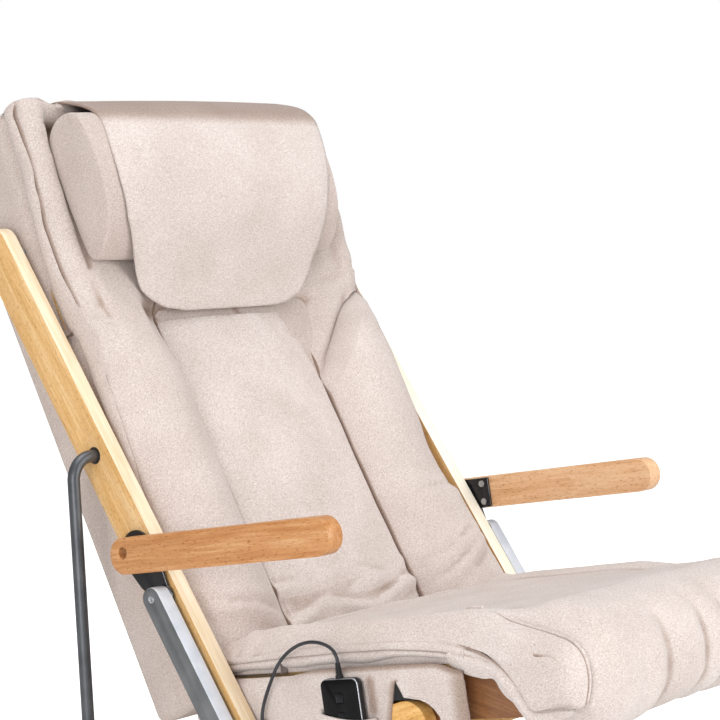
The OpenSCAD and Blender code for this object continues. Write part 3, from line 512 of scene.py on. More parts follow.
def upper_height(x, s, fine=True):
    a = abs(x)
    h = table(FIELD, s)
    if x < 0:
        h += (table(SHOULDER, s) - h) * ease(PANEL + 6, PANEL + 58, a)
    h += (table(VALLEY, s) - h) * ease(PANEL + 60, PANEL, a) * ease(345, 312, s)
    ridge = ease(224, 238, a)
    h += (table(RIDGE if x > 0 else RIDGE_NEAR, s) - h) * ridge
    fall = min(1, max(0, (a - 240) / (HALF - 240)))
    h += (edge_at(x, s) - h) * (1 - sqrt(1 - fall * fall) if x < 0 else ease(248, HALF, a) ** 1.3)
    if x < -PANEL and fine:
        h += (wing_height(x, s) - h) * ease(345, 302, s) if s < 345 else 0
    if -245 < x < -222 and 372 < s < 566:
        # the dark line where the pillow sits in
        h -= 4 * bell(a - 230, 2.5)
    if x > PANEL and s < 350:
        d = s - wing_top(x)
        h += 4 * bell(d - 26, 18) - 5 * bell(d, 7)
    if fine:
        h += (1.2 * ripple(x, s, 0, 80, 4) + 0.5 * ripple(x, s, 0, 30, 6)) * (1 if s < 350 or a > 236 else 0.0)
    return h


def band_point(x_sign, t, s, e, width):
    """Side band from the front seam (t=0) back to the rear seam (t=1)."""
    p = e + (table(REAR, s) - e) * t
    slack = 3.2 * bell(s - 38, 26) + 3.4 * ease(-52, -78, s) + 2.0 * bell(s - 255, 40) if x_sign > 0 else 0
    out = 4.0 * abs(sin(pi * t)) ** 0.7 + slack * ease(0, 0.2, t) * ease(1, 0.7, t)
    out += (0.9 * ripple(0, s, p, 40, 7) + 2.0 * t * (1 - t)) - 6.5 * bell(1 - t, 0.13)
    return on_back(x_sign * (width + 1.5 * t + out), s, p)


BAND = [0.04, 0.1, 0.2, 0.32, 0.44, 0.56, 0.68, 0.8, 0.9, 0.96, 1.0]


def seam_dip(t):
    return 1.6 * bell(t, 1.6)


def back_pieces():
    # quilted middle panel
    bm = bmesh.new()
    cols = spread(-PANEL, PANEL, 5, (-PANEL, PANEL), 1.5)
    rows = spread(CREASE, 303, 5, (CREASE,), 3)
    patch(bm, cols, rows, lambda x, s: on_back(x, s, panel_height(x, s) - 3 * bell(PANEL - abs(x), 1.5)))
    flat_rear(bm, on_back(0, 0, 0), OUT_OF_BACK, PAD_REAR)
    shade(piece(bm, "quilted_panel", "centre_panel", "foam"), 1.0)
    # wings: face from the panel's seam out to the front seam, then the band
    for sign, node in ((-1, "wing_right"), (1, "wing_left")):
        bm = bmesh.new()
        cols = [("face", a) for a in spread(PANEL, HALF, 5, (PANEL, HALF), 1.3)] + [("band", t) for t in BAND]
        rows = spread(0, 1, 0.0095)

        def place(col, row, sign=sign):
            kind, c = col
            a = c if kind == "face" else HALF
            top = wing_top(sign * a)
            foot = CREASE - (22 if sign > 0 else 8)
            s = foot + (top - foot) * (1 - (1 - row) ** 1.25)
            if kind == "face":
                h = wing_height(sign * c, s) - 3 * bell(c - PANEL, 1.5) - seam_dip(HALF - c)
                return on_back(sign * c, s, h)
            return band_point(sign, c, s, edge_at(sign, s), HALF)

        patch(bm, cols, rows, place)
        flat_rear(bm, on_back(0, 0, 0), OUT_OF_BACK, PAD_REAR)
        shade(piece(bm, "padded_" + node, node, "foam"), 0.42 if sign < 0 else 0.44, 0.0 if sign < 0 else 0.3)
    # upper pad behind the pillow, with the side bands and the top band
    bm = bmesh.new()
    cols = [("band", -t) for t in reversed(BAND)]
    cols += [("face", x) for x in spread(-HALF, HALF, 6, (-HALF, -PANEL, PANEL, HALF), 1.5)] + [("band", t) for t in BAND]
    rows = [("face", k) for k in spread(0, 1, 0.02, (1,), 0.008, 0.03)] + [("top", t) for t in BAND]

    def place_upper(col, row):
        kind, c = col
        up, r = row
        low = 300 if c < 0 else 300 + (wing_top(HALF) - 300) * ease(PANEL, HALF, c if kind == "face" else HALF)
        s = low + (TOP - low) * r if up == "face" else TOP
        w = half_width(s)
        x = c * w / HALF if kind == "face" else copysign(HALF, c)
        h = upper_height(c if kind == "face" else x, s)
        dip = top_dip(x) * ease(578, TOP, s) if kind == "face" else 0
        if kind == "face":
            h -= seam_dip((HALF - abs(c)))
        if up == "top":
            out = 2.5 * sin(pi * r) ** 0.8
            h = h + (6 - h) * r
            s = TOP + 1.5 * r + out - 3 * bell(1 - r, 0.12)
        if kind == "band":
            e = edge_at(c, min(s, TOP))
            if up == "face":
                return band_point(copysign(1, c), abs(c), s, e, w)
            p = min(h, e + (6 - e) * abs(c))
            out = 3.5 * abs(sin(pi * c)) ** 0.8 * (1 - r) + 1.5 * abs(c) - 3.5 * bell(1 - abs(c), 0.1)
            return on_back(copysign(w + out, c), s, p)
        return on_back(x, s - dip, h)

    patch(bm, cols, rows, place_upper)
    # the tongue that comes down between the left wing and the panel

    def tongue(c, k):
        low = wing_top(c) + 0.6
        s = low + (300 + (wing_top(HALF) - 300) * ease(PANEL, HALF, c) - low) * k
        return on_back(c, s, upper_height(c, s) - 1.2 * bell(c - PANEL, 1.5))

    patch(bm, spread(PANEL, HALF, 5, (PANEL,), 1.5), spread(0, 1, 0.05), tongue)
    weld(bm, 0.3)
    flat_rear(bm, on_back(0, 0, 0), OUT_OF_BACK, PAD_REAR)
    pad = piece(bm, "upper_pad", "upper_back_pad", "foam")
    shade(pad, 0.41)
    # the pad's far side keeps less of the painted fold shade
    for v, d in zip(pad.data.vertices, pad.data.attributes["fold"].data):
        if v.co.x > 0.19:
            d.value = max(d.value, 0.37)


def piece(bm, name, node, slot, body="", mat=None):
    o = new_piece(name, bm, mat or cloth_back, BODY[node] if body == "" else body, slot, [node])
    o.data.set_sharp_from_angle(angle=radians(60))
    return o


def paint_shade(o, depth, plane):
    """Painted shade: the cloth is drawn browner by a rule, depth(x, s, p) over the given plane, up to 0.5."""
    origin = plane(0, 0, 0)
    ahead, up = plane(0, 1000, 0) - origin, plane(0, 0, 1000) - origin
    for v, d in zip(o.data.vertices, o.data.attributes["fold"].data):
        at = v.co - origin
        d.value = min(d.value, 0.5 - depth(at.x * 1000, at.dot(ahead) * 1000, at.dot(up) * 1000))


def shade(o, most, least=0.0):
    """Painted shade: a piece out of the light is drawn a little browner, down to most, with its fold marks kept no
    darker than least; a line along the panel's seams is drawn darkest.
    """
    for v, d in zip(o.data.vertices, o.data.attributes["fold"].data):
        d.value = max(least, min(d.value, most)) if abs(abs(v.co.x) * 1000 - PANEL) > 1.7 else 0.06


def casing():
    """The back's fabric casing behind the pads: sides, bottom and rear, with soft corners."""
    bm = bmesh.new()
    w, lo, hi, r, foot = 266.0, -178.0, 602.0, 8.0, 10.0

    def corner(x, s, r, start, n):
        turns = [radians(start + 90 * i / n) for i in range(1, n)]
        return [(x + r * cos(a), s + r * sin(a)) for a in turns]

    around = [(x, lo) for x in spread(-w + foot, w - foot, 12)] + corner(w - foot, lo + foot, foot, -90, 5)
    around += [(w, s) for s in spread(lo + foot, hi - r, 12)] + corner(w - r, hi - r, r, 0, 16)
    around += [(x, hi) for x in reversed(spread(-w + r, w - r, 12))] + corner(r - w, hi - r, r, 90, 16)
    around += [(-w, s) for s in reversed(spread(lo + foot, hi - r, 12))] + corner(foot - w, lo + foot, foot, 180, 5)
    depth = [("side", k) for k in (0, 0.015, 0.04, 0.08, 0.14, 0.22, 0.34, 0.48, 0.62, 0.76, 0.9, 1)]
    depth += [("turn", radians(a)) for a in (15, 30, 45, 60, 75, 90)]
    depth += [("rear", k) for k in (0.985, 0.96, 0.9, 0.8, 0.65, 0.5, 0.35, 0.2, 0.1)]
    mid = (lo + hi) / 2

    def place(i, row):
        x, s = around[i % len(around)]
        kind, t = row
        if kind == "side":
            rim = table(REAR, s) - 1 if abs(x) > w - 8 or s > hi - 8 else -17
            k = 3.2 * abs(sin(pi * t)) ** 0.8 + 1.2 * ripple(x, s, t * 80, 60, 8) * ease(0, 0.15, t) - 6.5 * bell(t, 0.07)
            dip = top_dip(x) if s > hi - 8 else 0
            aside, up = (k * copysign(1, x), 0) if abs(x) > w - 2 else (0, 0.7 * k * copysign(1, s - mid))
            return on_back(x + aside, s + up - dip, rim + (-105 - rim) * t)
        # the corners draw in as the sides turn to the rear
        g = 9 * (1 - cos(t)) if kind == "turn" else 9
        out = Vector((x, s - mid)).normalized()
        x, s = x - copysign(g, x) * min(1, abs(out.x) * 1.6), s - out.y * g
        if kind == "turn":
            return on_back(x, s, -106 - 10 * sin(t))
        return on_back(x * t, mid + (s - mid) * t, -116 - (1 - t ** 4) + 0.8 * ripple(x * t, s * t, 0, 90, 9))

    patch(bm, list(range(len(around) + 1)), depth, place)
    seal(bm, 0.3)
    o = new_piece("back_casing", bm, cloth_back, "frame", "cloth", ["rear_cover"])
    o.data.set_sharp_from_angle(angle=radians(60))
    shade(o, 0.4)


# ---------- head pillow and its flap ----------
PILLOW = [(559, 53), (560, 70), (554, 87), (541, 97), (518, 101), (489, 102), (459, 99), (431, 92.5), (408, 82), (390, 67), (378, 50),
          (374, 38), (381, 28), (400, 25.6), (440, 25.4), (480, 25.4), (520, 27), (547, 36)]
PILLOW_ENDS = (-231.0, 196.0)
FLAP = [(562, -118), (580, -118.2), (596, -118), (604, -108), (604.4, -80), (604.4, -40), (604.4, -8), (603.5, 20), (597, 40), (588, 53.5),
        (578, 67), (567, 80), (554, 91.5), (537, 101), (514, 105.6), (487, 106.4), (457, 103.6), (429, 97), (404, 86.5), (384, 71),
        (366, 53), (347, 37), (328, 23), (309, 11)]
FLAP_RIGHT = [(309, 90), (310.5, 98), (313.5, 122), (316.5, 132), (322.5, 147), (327, 156), (336, 168), (352.5, 176), (361.5, 180),
              (382.5, 191), (405, 202), (450, 206), (490, 205), (532, 198), (600, 197)]
FLAP_LEFT = [(309, 84), (312, 104), (321, 127), (333, 138), (342, 143), (352.5, 148), (372, 156), (403, 163), (441, 176), (488, 192),
             (534, 204), (600, 207)]


def spline(points, t, closed=False):
    """Catmull-Rom reading of a short list of (s, p) points."""
    n = len(points)
    i = int(floor(t))
    f = t - i
    get = (lambda k: points[k % n]) if closed else (lambda k: points[min(max(k, 0), n - 1)])
    a, b, c, d = get(i - 1), get(i), get(i + 1), get(i + 2)
    return tuple(0.5 * (2 * q + (r - p) * f + (2 * p - 5 * q + 4 * r - w) * f * f + (3 * q - p - 3 * r + w) * f ** 3)
                 for p, q, r, w in zip(a, b, c, d))


def pillow():
    bm = bmesh.new()
    lo, hi = PILLOW_ENDS
    turns = [i / 4 for i in range(4 * len(PILLOW) + 1)]
    centre = (467, 62)
    caps = [0.12, 0.3, 0.5, 0.7, 0.84, 0.93, 0.975]
    lines = [("cap", -k) for k in caps] + [("body", x) for x in spread(lo, hi, 9, (lo, hi), 1.3)] + [("cap", k) for k in caps[::-1]]

    def place(line, t):
        kind, c = line
        s, p = spline(PILLOW, t % len(PILLOW), True)
        ds, dp = s - centre[0], p - centre[1]
        if kind == "cap":
            k = abs(c)
            x = hi + 6 * (1 - k ** 2.2) if c > 0 else lo - 6 * (1 - k ** 2.2)
            return on_back(x, centre[0] + ds * k, centre[1] + dp * k)
        end = min(c - lo, hi - c)
        k = 1 - 0.022 * bell(end, 1.3) + 0.012 * (1 - bell(end, 26))
        k += 0.006 * ripple(c, s, p, 70, 11)
        return on_back(c, centre[0] + ds * k, max(centre[1] + dp * k, 25.2))

    patch(bm, lines, turns, place)
    seal(bm, 0.3)
    shade(piece(bm, "pillow_bolster", "head_pillow", "foam"), 0.38)


def flap():
    """A cloth flap sewn at its rear end, laid over the back's top and the pillow."""
    bm = bmesh.new()
    n = len(FLAP) - 1
    end = n - 1e-6
    cut = 0.72             # share of the flap's run where the columns start to end on its outline
    full = 352.5           # the outline is read no lower than this
    cols = [-1 + 2 * i / 72 for i in range(73)]
    rows = [j * n / 110 for j in range(111)]

    def place(c, t):
        s, p = spline(FLAP, min(t, end))
        # the lower corners are cut round: each column ends on the outline
        k = t / n
        wide = FLAP_RIGHT if c < 0 else FLAP_LEFT
        if k > cut:
            last = n
            while level(wide, spline(FLAP, min(last, end))[0]) < abs(c) * level(wide, full):
                last -= 0.02
            s, p = spline(FLAP, min(end, n * cut + (k - cut) / 0.28 * (last - n * cut)))
        x = c * (level(wide, max(s, full)) if k > 0.3 else (197 if c < 0 else 207))
        # fuller in the middle, and a little higher towards the left
        s += (3.5 * (1 - c * c) + 8 * ((c + 0.8) / 1.8 if c > -0.8 else 0) ** 1.5) * ease(0.1, 0.3, k) * ease(cut, 0.5, k)
        sag = 2.2 * (1 - c * c) * ease(0.3, 0.4, k) * ease(0.62, 0.5, k)
        if k > 0.5:
            sag += 1.6 * ripple(x, s, 0, 95, 12) * ease(0.5, 0.7, k)
            sag -= 2.4 * bell(abs(c) - 1, 0.06) * ease(0.5, 0.62, k)
        return on_back(x, s, p + sag)

    patch(bm, cols, rows, place)
    o = new_piece("pillow_flap_cloth", bm, cloth_back, "pillow", "cloth", ["pillow_flap"])
    # painted shade: darker along the top, where it turns over the back and faces away from the lamps, and a little
    # darker on its part behind the back
    paint_shade(o, lambda x, s, p: max(0.34 * ease(524, 556, s) * ease(0, 30, p), 0.08 * ease(30, 0, p)), on_back)
    thicken(o, 2.6)


back_pieces()
casing()
pillow()
flap()


# ---------- seat: heights over the seat's own plane ----------
OUT = 263.5       # outer edge of the cushion, out from the middle
PAD_UNDER = 21.5  # the cushion's flat underside
UP_FROM_SEAT = Vector((0, sin(SEAT), cos(SEAT)))
U_SEAM = [(-30, 40), (1, 43), (46, 43), (95, 48), (231, 50), (280, 48.5), (310, 45.5), (336, 41.2), (350, 38), (362, 34.5), (425, -31)]
L_SEAM = [(-30, 33), (4, 35), (95, 39), (179, 41), (246, 41), (290, 38.5), (320, 35), (345, 30), (362, 25), (415, -36)]
FOOT = [(-30, 22), (40, 25), (84, 26), (200, 28), (280, 31), (300, 30), (328, 26), (345, 18.6), (356, 15)]


def seat_top(x, s):
    a = abs(x)
    h = table([(-30, 50), (-8, 57), (30, 62), (84, 64), (200, 65), (300, 66), (352, 71), (400, 72)], s)
    roll = bell(a - 238, 25) * ease(-10, 70, s) * (1 - 0.75 * ease(300, 400, s))
    h += (9.0 if x < 0 else 4.0) * roll
    h -= 3.0 * bell(a - 204, 11) * ease(40, 120, s)
    h += 2.5 * bell(s - 18, 22) * ease(190, 250, a)
    if x > 130:
        h -= 13 * ease(235, 350, s) * ease(130, 235, x)
    e = level(U_SEAM, s) + 1.5
    h = h + (e - h) * ease(244, OUT + 1, a) ** 1.15
    h += 1.4 * ripple(x, s, 0, 90, 15) + 0.5 * ripple(x, s, 0, 32, 16)
    return h


def edge_strip(sign, kind, k, s, foot=None):
    """The stitched band below the cushion's edge, then the tucked strip below that."""
    u, l = level(U_SEAM, s), level(L_SEAM, s)
    wave = 1.0 * ripple(sign * 3, s, 0, 34, 17)
    if kind == "band":
        return on_seat(sign * (OUT + 0.6 + 3.6 * abs(sin(pi * k)) ** 0.7 + 0.6 * k), s, u + (l - u) * k + 0.5 * wave)
    f = level(FOOT, s) if foot is None else foot
    sag = 3.2 * ripple(sign * 5, s, 0, 46, 21) * k
    return on_seat(sign * (OUT + 1.2 + 4.2 * sin(pi * min(1, k)) ** 0.7 - 8 * k * k), s, l + (f - l) * k + sag)


STRIP = [("band", k) for k in (0.1, 0.22, 0.5, 0.78, 0.9, 1.0)] + [("low", k) for k in (0.1, 0.22, 0.45, 0.7, 0.88, 1.0)]


def cushion(name, node, body, s0, s1, lift=None):
    """A length of the cushion: top face, rolled edges, stitched bands."""
    bm = bmesh.new()
    cols = [(k, -c) for k, c in reversed(STRIP)] + [("top", x) for x in spread(-OUT, OUT, 6, (-OUT, OUT), 1.5)] + STRIP

    def place(col, s):
        kind, c = col
        if kind == "top":
            h = seat_top(c, s) - 1.8 * bell(OUT - abs(c), 1.6)
            return on_seat(c, s, h + (lift(c, s) if lift else 0))
        return edge_strip(copysign(1, c), kind, abs(c), s)

    patch(bm, cols, spread(s0, s1, 5), place)
    flat_rear(bm, on_seat(0, 0, 0), UP_FROM_SEAT, PAD_UNDER)
    return piece(bm, name, node, "foam", body=body, mat=cloth_seat)


def corner_lift(x, s):
    a = abs(x)
    h = 0
    for at, lean, wide, high in ((2, 0.12, 6, 5.0), (22, 0.24, 7, 4.5), (-14, 0.05, 6, 4.5)):
        h += high * bell(s - at - lean * (a - 235), wide) * ease(150, 215, a) * (0.6 + 0.4 * ripple(x, s, at, 40, 2))
    for at, wide, high in ((4, 7, 5.5), (26, 8, 5.0), (50, 10, 3.4)):
        h += high * bell(s - at - 6 * sin(x / 31.0 + at), wide) * ease(150, 110, a) * (0.6 + 0.6 * ripple(x, s, at, 48, 6))
    return h


U_PATH = [(334, 42), (350, 38), (362, 34.5), (374, 29.8), (389, 21), (398, 14.5), (406, 6.4), (414, -4), (421.5, -17.5), (428.5, -30),
          (441, -33), (463, -32), (485, -31)]
L_PATH = [(328, 26.5), (345, 18.6), (358, 14.2), (372, 10.8), (383, 8.5), (389, 4), (394, -4), (401, -13), (409, -21), (417, -33),
          (430, -43), (462, -39.5), (486, -34)]


def front_roll():
    """The rounded front of the seat: soft lobes side by side, a flat gusset at each end."""
    side_ring = [(352, 66), (380, 64), (402, 59), (424, 52), (452, 43), (474, 33), (486, 17), (488, -4), (483, -24), (476, -34),
                 (455, -36), (432, -34), (425, -30), (412, -6), (394, 18), (375, 33), (352, 42)]
    mid_ring = [(352, 71), (400, 73), (431, 72), (468, 58), (490, 34), (499, 7), (498, -15), (492, -38), (478, -56), (458, -68),
                (436, -76), (418, -70), (408, -50), (404, -20), (402, 4), (396, 21), (352, 22)]
    bm = bmesh.new()
    n = len(side_ring) - 1
    turns = spread(0, n, 0.16)
    caps = [0.0, 0.34, 0.52, 0.68, 0.82, 0.92, 0.97]
    lines = [("cap", -k) for k in caps] + [("roll", x) for x in spread(-OUT, OUT, 4.5, (-OUT, -234, 234, OUT), 1.4, 8)]
    lines += [("cap", k) for k in caps[::-1]]

    def outline(x, t):
        a = abs(x)
        k = ease(240, 186, a)
        s0, p0 = spline(side_ring, t)
        s1, p1 = spline(mid_ring, t)
        # the middle of the roll is shallower underneath than near the ends
        p1 = p1 + max(0, -p1 - 25) * 0.22 * ease(170, 60, a)
        s, p = s0 + (s1 - s0) * k, p0 + (p1 - p0) * k
        v = (2 * bell(a - 150, 12) + 6.5 * bell(a - 98, 13) + 6.5 * bell(a - 24, 12)) * ease(2, 5, t) - 2.5
        v = v * ease(0.6, 3, t) * ease(n - 1.5, n - 4.5, t) * k
        v += 4.0 * bell(a - 231, 3) * ease(0.4, 2, t) * ease(n - 4, n - 6, t)
        # outside the corded seam the gusset rounds away to the side
        away = 1 - sqrt(1 - min(1, max(0, (a - 236) / (OUT + 0.5 - 236))) ** 2)
        v += away * (16 + 9 * ease(6, 3.5, t)) * ease(0.0, 1.2, t) * ease(11.5, 9, t)
        ds, dp = s - 440, p - 8
        g = 1 - v / max(20, hypot(ds, dp)) + 0.02 * ripple(x, s, p, 60, 19) * ease(0, 2, t) * ease(n, n - 3, t)
        s, p = 440 + ds * g, 8 + dp * g
        if x > 130:
            p -= 12 * ease(130, 235, x) * ease(OUT, 242, x) * ease(8, 4, t) * ease(0, 1, t)
        if t < 2:
            top = seat_top(x, min(s, 352))
            p = top + (p - top) * ease(0, 2, t)
        return s, p

    def place(line, t):
        kind, c = line
        if t > n - 0.01 and (kind == "cap" or abs(c) > OUT - 0.1):
            t = 0
        if kind == "roll":
            s, p = outline(c, t)
            edge = bell(OUT - abs(c), 1.6)
            return on_seat(c, s - 1.0 * edge * (1 if s > 440 else -1), p - 1.0 * edge)
        k = abs(c)
        s, p = outline(copysign(OUT, c), t)
        cs, cp = 432, 14
        s, p = cs + (s - cs) * k, cp + (p - cp) * k
        return on_seat(copysign(OUT + 5.5 * (1 - k ** 2.4) + 2.5 * ripple(0, s, p, 42, 23) * (1 - k), c), s, p)

    patch(bm, lines, turns, place)
    weld(bm, 0.1)
    ends = [v for v in bm.verts if abs(v.co.x) * 1000 > OUT + 0.8]
    for _ in range(8):
        bmesh.ops.smooth_vert(bm, verts=ends, factor=0.5, use_axis_x=True, use_axis_y=True, use_axis_z=True)
    # the stitched band goes on down the gusset's rear edge
    for sign in (-1, 1):
        def strip(k, t, sign=sign):
            a, b = spline(U_PATH, t), spline(L_PATH, t)
            out = 4.4 * sin(pi * max(0, min(1, k))) ** 0.7 - 9 * max(0, k - 1) - 2.6 * bell(k, 0.1)
            out -= 3.0 * bell(k - 0.38 + 0.05 * t, 0.1) * ease(5.2, 3.2, t) + 2.6 * ease(1.6, 0, t) * ease(0.5, 0, k)
            s, p = a[0] + (b[0] - a[0]) * k, a[1] + (b[1] - a[1]) * k
            return on_seat(sign * (OUT + 1.5 + out + 1.0 * ripple(s, p, k, 17, 29)), s, p)

        patch(bm, [-0.12, 0, 0.1, 0.22, 0.3, 0.38, 0.46, 0.6, 0.75, 0.9, 1.0, 1.05, 1.2, 1.35], spread(0, len(U_PATH) - 1.001, 0.12), strip)
    seal(bm, 0.2)
    # painted shade: a dark line drawn along the outer side of the corded seam at the front
    paint_shade(piece(bm, "front_bolster", "front_roll", "foam", mat=cloth_seat),
         lambda x, s, p: 0.4 * bell(abs(x) - 238.6, 1.3) * ease(360, 400, s) * ease(-38, -30, p), on_seat)


def gusset_piping():
    """A thin corded seam round the front edge of each gusset."""
    pts = [(340, 70), (359, 69), (402, 58.5), (426, 51), (452, 43), (474, 33.5), (486, 17.5), (488.5, -4), (483, -24), (477, -34)]
    for sign in (-1, 1):
        bm = bmesh.new()
        turns = spread(0, len(pts) - 1.001, 0.12)

        def place(a, t, sign=sign):
            s, p = spline(pts, t)
            p = seat_top(sign * 236, s) + 0.4 if s < 365 else p - (12 * ease(-10, 20, p) if sign > 0 else 0)
            b = 2 * pi * a
            return on_seat(sign * (236 + 1.9 * cos(b)), s + 1.3 * sin(b), p + 0.5 + 1.6 * sin(b))

        patch(bm, [i / 8 for i in range(9)], turns, place)
        seal(bm, 0.02)
        new_piece("gusset_piping_" + ("left" if sign > 0 else "right"), bm, cloth_seat, "seat", "foam")


# ---------- skirts, pocket ----------
SLIT_REAR = [(-75, 232), (10, 257), (30, 257)]
SLIT_FRONT = [(-75, 308), (-60, 313), (-50, 315), (-41, 316), (-32, 314), (-24, 308), (-17, 299), (-13, 289), (-11.5, 279), (-10.5, 268),
              (10, 257.4), (30, 257.4)]


def skirt(sign, node):
    bm = bmesh.new()
    rows = spread(-74, 27, 3, (-13, 10), 1.2)

    def fold(s, p):
        x = 272.5 + 1.8 * ripple(s, p, sign, 55, 25) + 0.8 * ripple(s, p, sign, 22, 26)
        x -= 5.5 * ease(12, 27, p)
        x += 1.6 * bell(s - 30 - p * 0.3, 10) * ease(-74, 0, p)
        x += 2.0 * bell(s - 340, 16) * ease(20, -30, p)
        return min(x, 276.8)

    for part in ("rear", "front"):
        cols = spread(0, 1, 0.018 if part == "rear" else 0.03)

        def place(k, p, part=part):
            rear = max(4 - sqrt(max(0, 74 ** 2 - p * p)), -56)
            if part == "rear":
                a, b = rear, level(SLIT_REAR, p)
            else:
                a, b = level(SLIT_FRONT, p), 353 - 6 * ease(10, 27, p) - 3 * ease(-40, -74, p)
            s = a + (b - a) * k
            near = min(abs(s - level(SLIT_REAR, p)), abs(s - level(SLIT_FRONT, p))) if p < 8 else 99
            low = (2.5 + 6 * ease(150, 92, s) + 10 * ease(305, 350, s)) * ease(-10, 27, p)
            return on_seat(sign * (fold(s, p) + 1.6 * bell(near, 6)), s, p - low)

        patch(bm, cols, rows, place)
    weld(bm, 0.5)
    bmesh.ops.recalc_face_normals(bm, faces=bm.faces[:])
    o = new_piece("side_skirt_" + ("left" if sign > 0 else "right"), bm, cloth_seat, "seat", "cloth", [node])
    thicken(o, 2.4)

    def shadow(x, s, p):
        """Under the cushion's edge, at the front, along the slit and beside the pocket."""
        beside = 0.36 * bell(s - 221, 6) * ease(20, 8, p) * ease(-34, -22, p) if x < 0 else 0
        return max(0.42 * ease(16, 25, p + 12 * ease(305, 350, s)), 0.30 * ease(322, 352, s),
                   0.32 * bell(s - level(SLIT_REAR, p), 5) * ease(14, 4, p), beside)

    paint_shade(o, shadow, on_seat)


def pocket():
    bm = bmesh.new()
    cols = spread(147, 227, 3, (147, 227), 1.5)
    rows = spread(0, 1, 0.04, (1,), 0.012, 0.05)

    def place(s, k):
        top = -19.5 - (s - 152) * 0.15 - 3.5 * sin(pi * (s - 147) / 80)
        p = -80 + (top + 80) * k
        rise = ease(147, 160, s) * ease(227, 215, s) * ease(-80, -70, p)
        x = 276.6 + 13.2 * rise + 0.8 * ripple(s, p, 0, 24, 27) * rise + 1.4 * bell(1 - k, 0.03)
        return on_seat(-x, s, p)

    patch(bm, cols, rows, place)
    bmesh.ops.recalc_face_normals(bm, faces=bm.faces[:])
    o = new_piece("pocket_cloth", bm, cloth_seat, "seat", "cloth", ["handset_pocket"])
    thicken(o, 2.2)


cushion("seat_cushion", "seat_pad", "seat", 84.5, 352.5)
CORNER = cushion("corner_folds", "corner_roll", None, -34, 85.2, corner_lift)
front_roll()
gusset_piping()
skirt(-1, "seat_skirt_right")
skirt(1, "seat_skirt_left")
pocket()

# ---------- rigid parts ----------
dressed("rail_right", beech_rail, "beech", 2.0, 3)
dressed("rail_left", beech_rail_far, "beech", 2.0, 3)
for n in ("leg_plank_right", "leg_plank_left"):
    dressed(n, beech_leg, "beech", 2.8, 4)
dressed("leg_crossbars", beech_leg, "beech", 1.6)
dressed("armrest_right", beech_arm_shaded, "arm_wood", 3.2, 4)
dressed("armrest_left", beech_arm_far_lit, "arm_wood", 3.2, 4)
for n in ("link_right", "link_left"):
    o = dressed(n, link_face_shaded, "steel", 0.7, edge=link_edge_lit)
    # painted light: side faces take the dark reflection copy, all other faces the pale highlight copy
    for f in o.data.polygons:
        f.material_index = 0 if abs(f.normal.x) > 0.9 else 1
# painted highlight: the black plates' eased edges are drawn light zinc grey, as lit edges
for n in ("arm_plate_right", "arm_plate_left"):
    dressed(n, plate_coat, "black_steel", 0.5, edge=zinc)
dressed("prop_bow", bow_coat, "steel", 0.6)
# painted highlight: the cranks' eased edges are drawn light zinc grey, as lit edges
dressed("seat_cranks", plate_coat, "black_steel", 0.5, edge=zinc)
dressed("handset_case", case_dark, "case", 0.9, 3, edge=case_silver)
dressed("handset_face", glass_black, "screen", 0.5, 3)
for n in ("power_button", "mode_button", "level_button"):
    dressed(n, key_black, "key", 0.3)
dressed("strain_relief", rubber, "rubber", 0.3)
dressed("cable_grommet", rubber, "rubber", 0.4)
FINISH = {
    "rail_feet": rubber, "leg_feet": rubber, "pivot_bushes": bush_black, "pivot_washers": bush_black, "back_frame": plywood,
    "back_mounts": zinc, "guide_rods": shaft_steel, "rod_blocks": gear_black, "lift_motor": zinc, "lead_screw": shaft_steel,
    "massage_carriage": gear_black, "knead_motor": zinc, "knead_shaft": shaft_steel, "massage_arm_right": gear_black,
    "massage_arm_left": gear_black, "leg_rod": zinc, "seat_frame": beech_frame_shaded, "seat_board": plywood, "seat_shafts": zinc,
    "seat_rests": rubber, "control_box": abs_white, "power_inlet": rubber, "arm_bolts_right": zinc, "arm_bolts_left": zinc,
    "link_pins_right": shaft_steel, "link_pins_left": shaft_steel}
for n, mat in FINISH.items():
    dressed(n, mat, SLOT[n], 0.4)


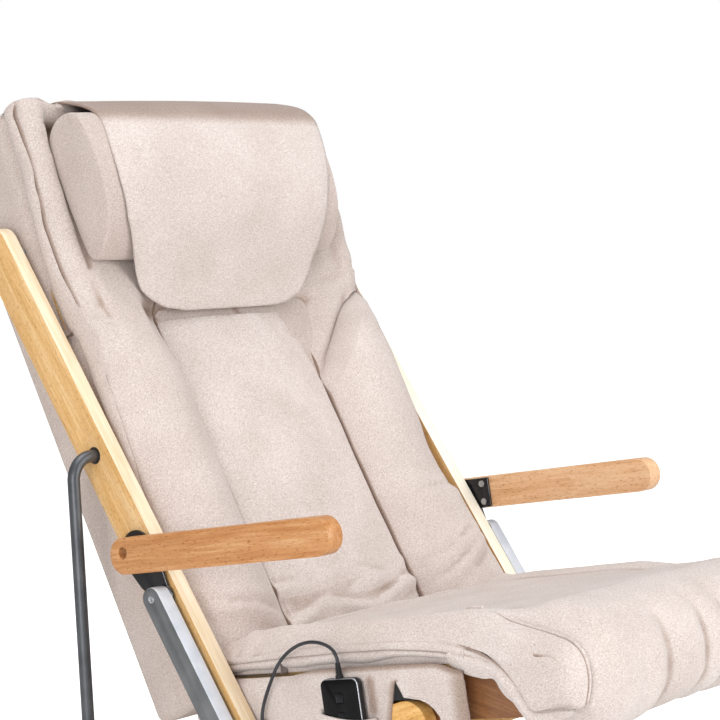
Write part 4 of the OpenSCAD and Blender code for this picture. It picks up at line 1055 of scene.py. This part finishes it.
# ---------- light, floor and backdrop ----------
def lamp(name, at, aim, size, watts):
    data = bpy.data.lights.new(name, "AREA")
    data.shape, data.size, data.size_y, data.energy = "RECTANGLE", size, size, watts
    o = show(name, data)
    o.location = at
    o.rotation_euler = (Vector(aim) - Vector(at)).to_track_quat("-Z", "Y").to_euler()


lamp("key", (0.8, -3.0, 1.2), (0, -0.1, 0.45), 2.0, 52)
lamp("fill", (-3.0, -1.3, 1.0), (0, -0.1, 0.45), 1.8, 54)
lamp("over", (-0.4, 0.0, 3.5), (0, -0.2, 0.4), 2.4, 60)

# an even white studio: plain white behind the chair and seen through clear surfaces, softer as a light
world = bpy.data.worlds.new("studio")
bpy.context.scene.world = world
world.use_nodes = True
path = add(world, "ShaderNodeLightPath")
seen = add(world, "ShaderNodeMath", operation="MAXIMUM", links={0: (path, "Is Camera Ray"), 1: (path, "Is Transmission Ray")})
where = add(world, "ShaderNodeTexCoord")
way = add(world, "ShaderNodeSeparateXYZ", links={"Vector": (where, "Generated")})
room = add(world, "ShaderNodeMapRange", {"From Min": -1.0, "To Min": 0.52, "To Max": 0.36}, {"Value": (way, "Y")})
power = add(world, "ShaderNodeMapRange", {"To Max": 1.0}, {"Value": (seen, "Value"), "To Min": (room, "Result")})
sky = world.node_tree.nodes["Background"]
sky.inputs["Color"].default_value = (1, 1, 1, 1)
join(world, power, "Result", sky, "Strength")


def backdrop():
    """A pale floor that reads as plain white and still takes the shadow."""
    bm = bmesh.new()
    bmesh.ops.create_grid(bm, x_segments=1, y_segments=1, size=14)
    mesh = bpy.data.meshes.new("studio_floor")
    bm.to_mesh(mesh)
    bm.free()
    o = show("studio_floor", mesh)
    o.location.z = -0.001
    m, shader = finish("studio_white", Roughness=0.9)
    shader.inputs["Base Color"].default_value = tone("#F4F4F4")
    shader.inputs["Emission Color"].default_value = (1, 1, 1, 1)
    eye = add(m, "ShaderNodeLightPath")
    glow = add(m, "ShaderNodeMath", {1: 0.7}, {0: (eye, "Is Camera Ray")}, operation="MULTIPLY")
    join(m, glow, "Value", shader, "Emission Strength")
    mesh.materials.append(m)


backdrop()
on_seat(0, -30, 50)
on_seat(0, 74, 50)
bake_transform(CORNER)
bpy.context.scene.view_settings.view_transform = "Standard"
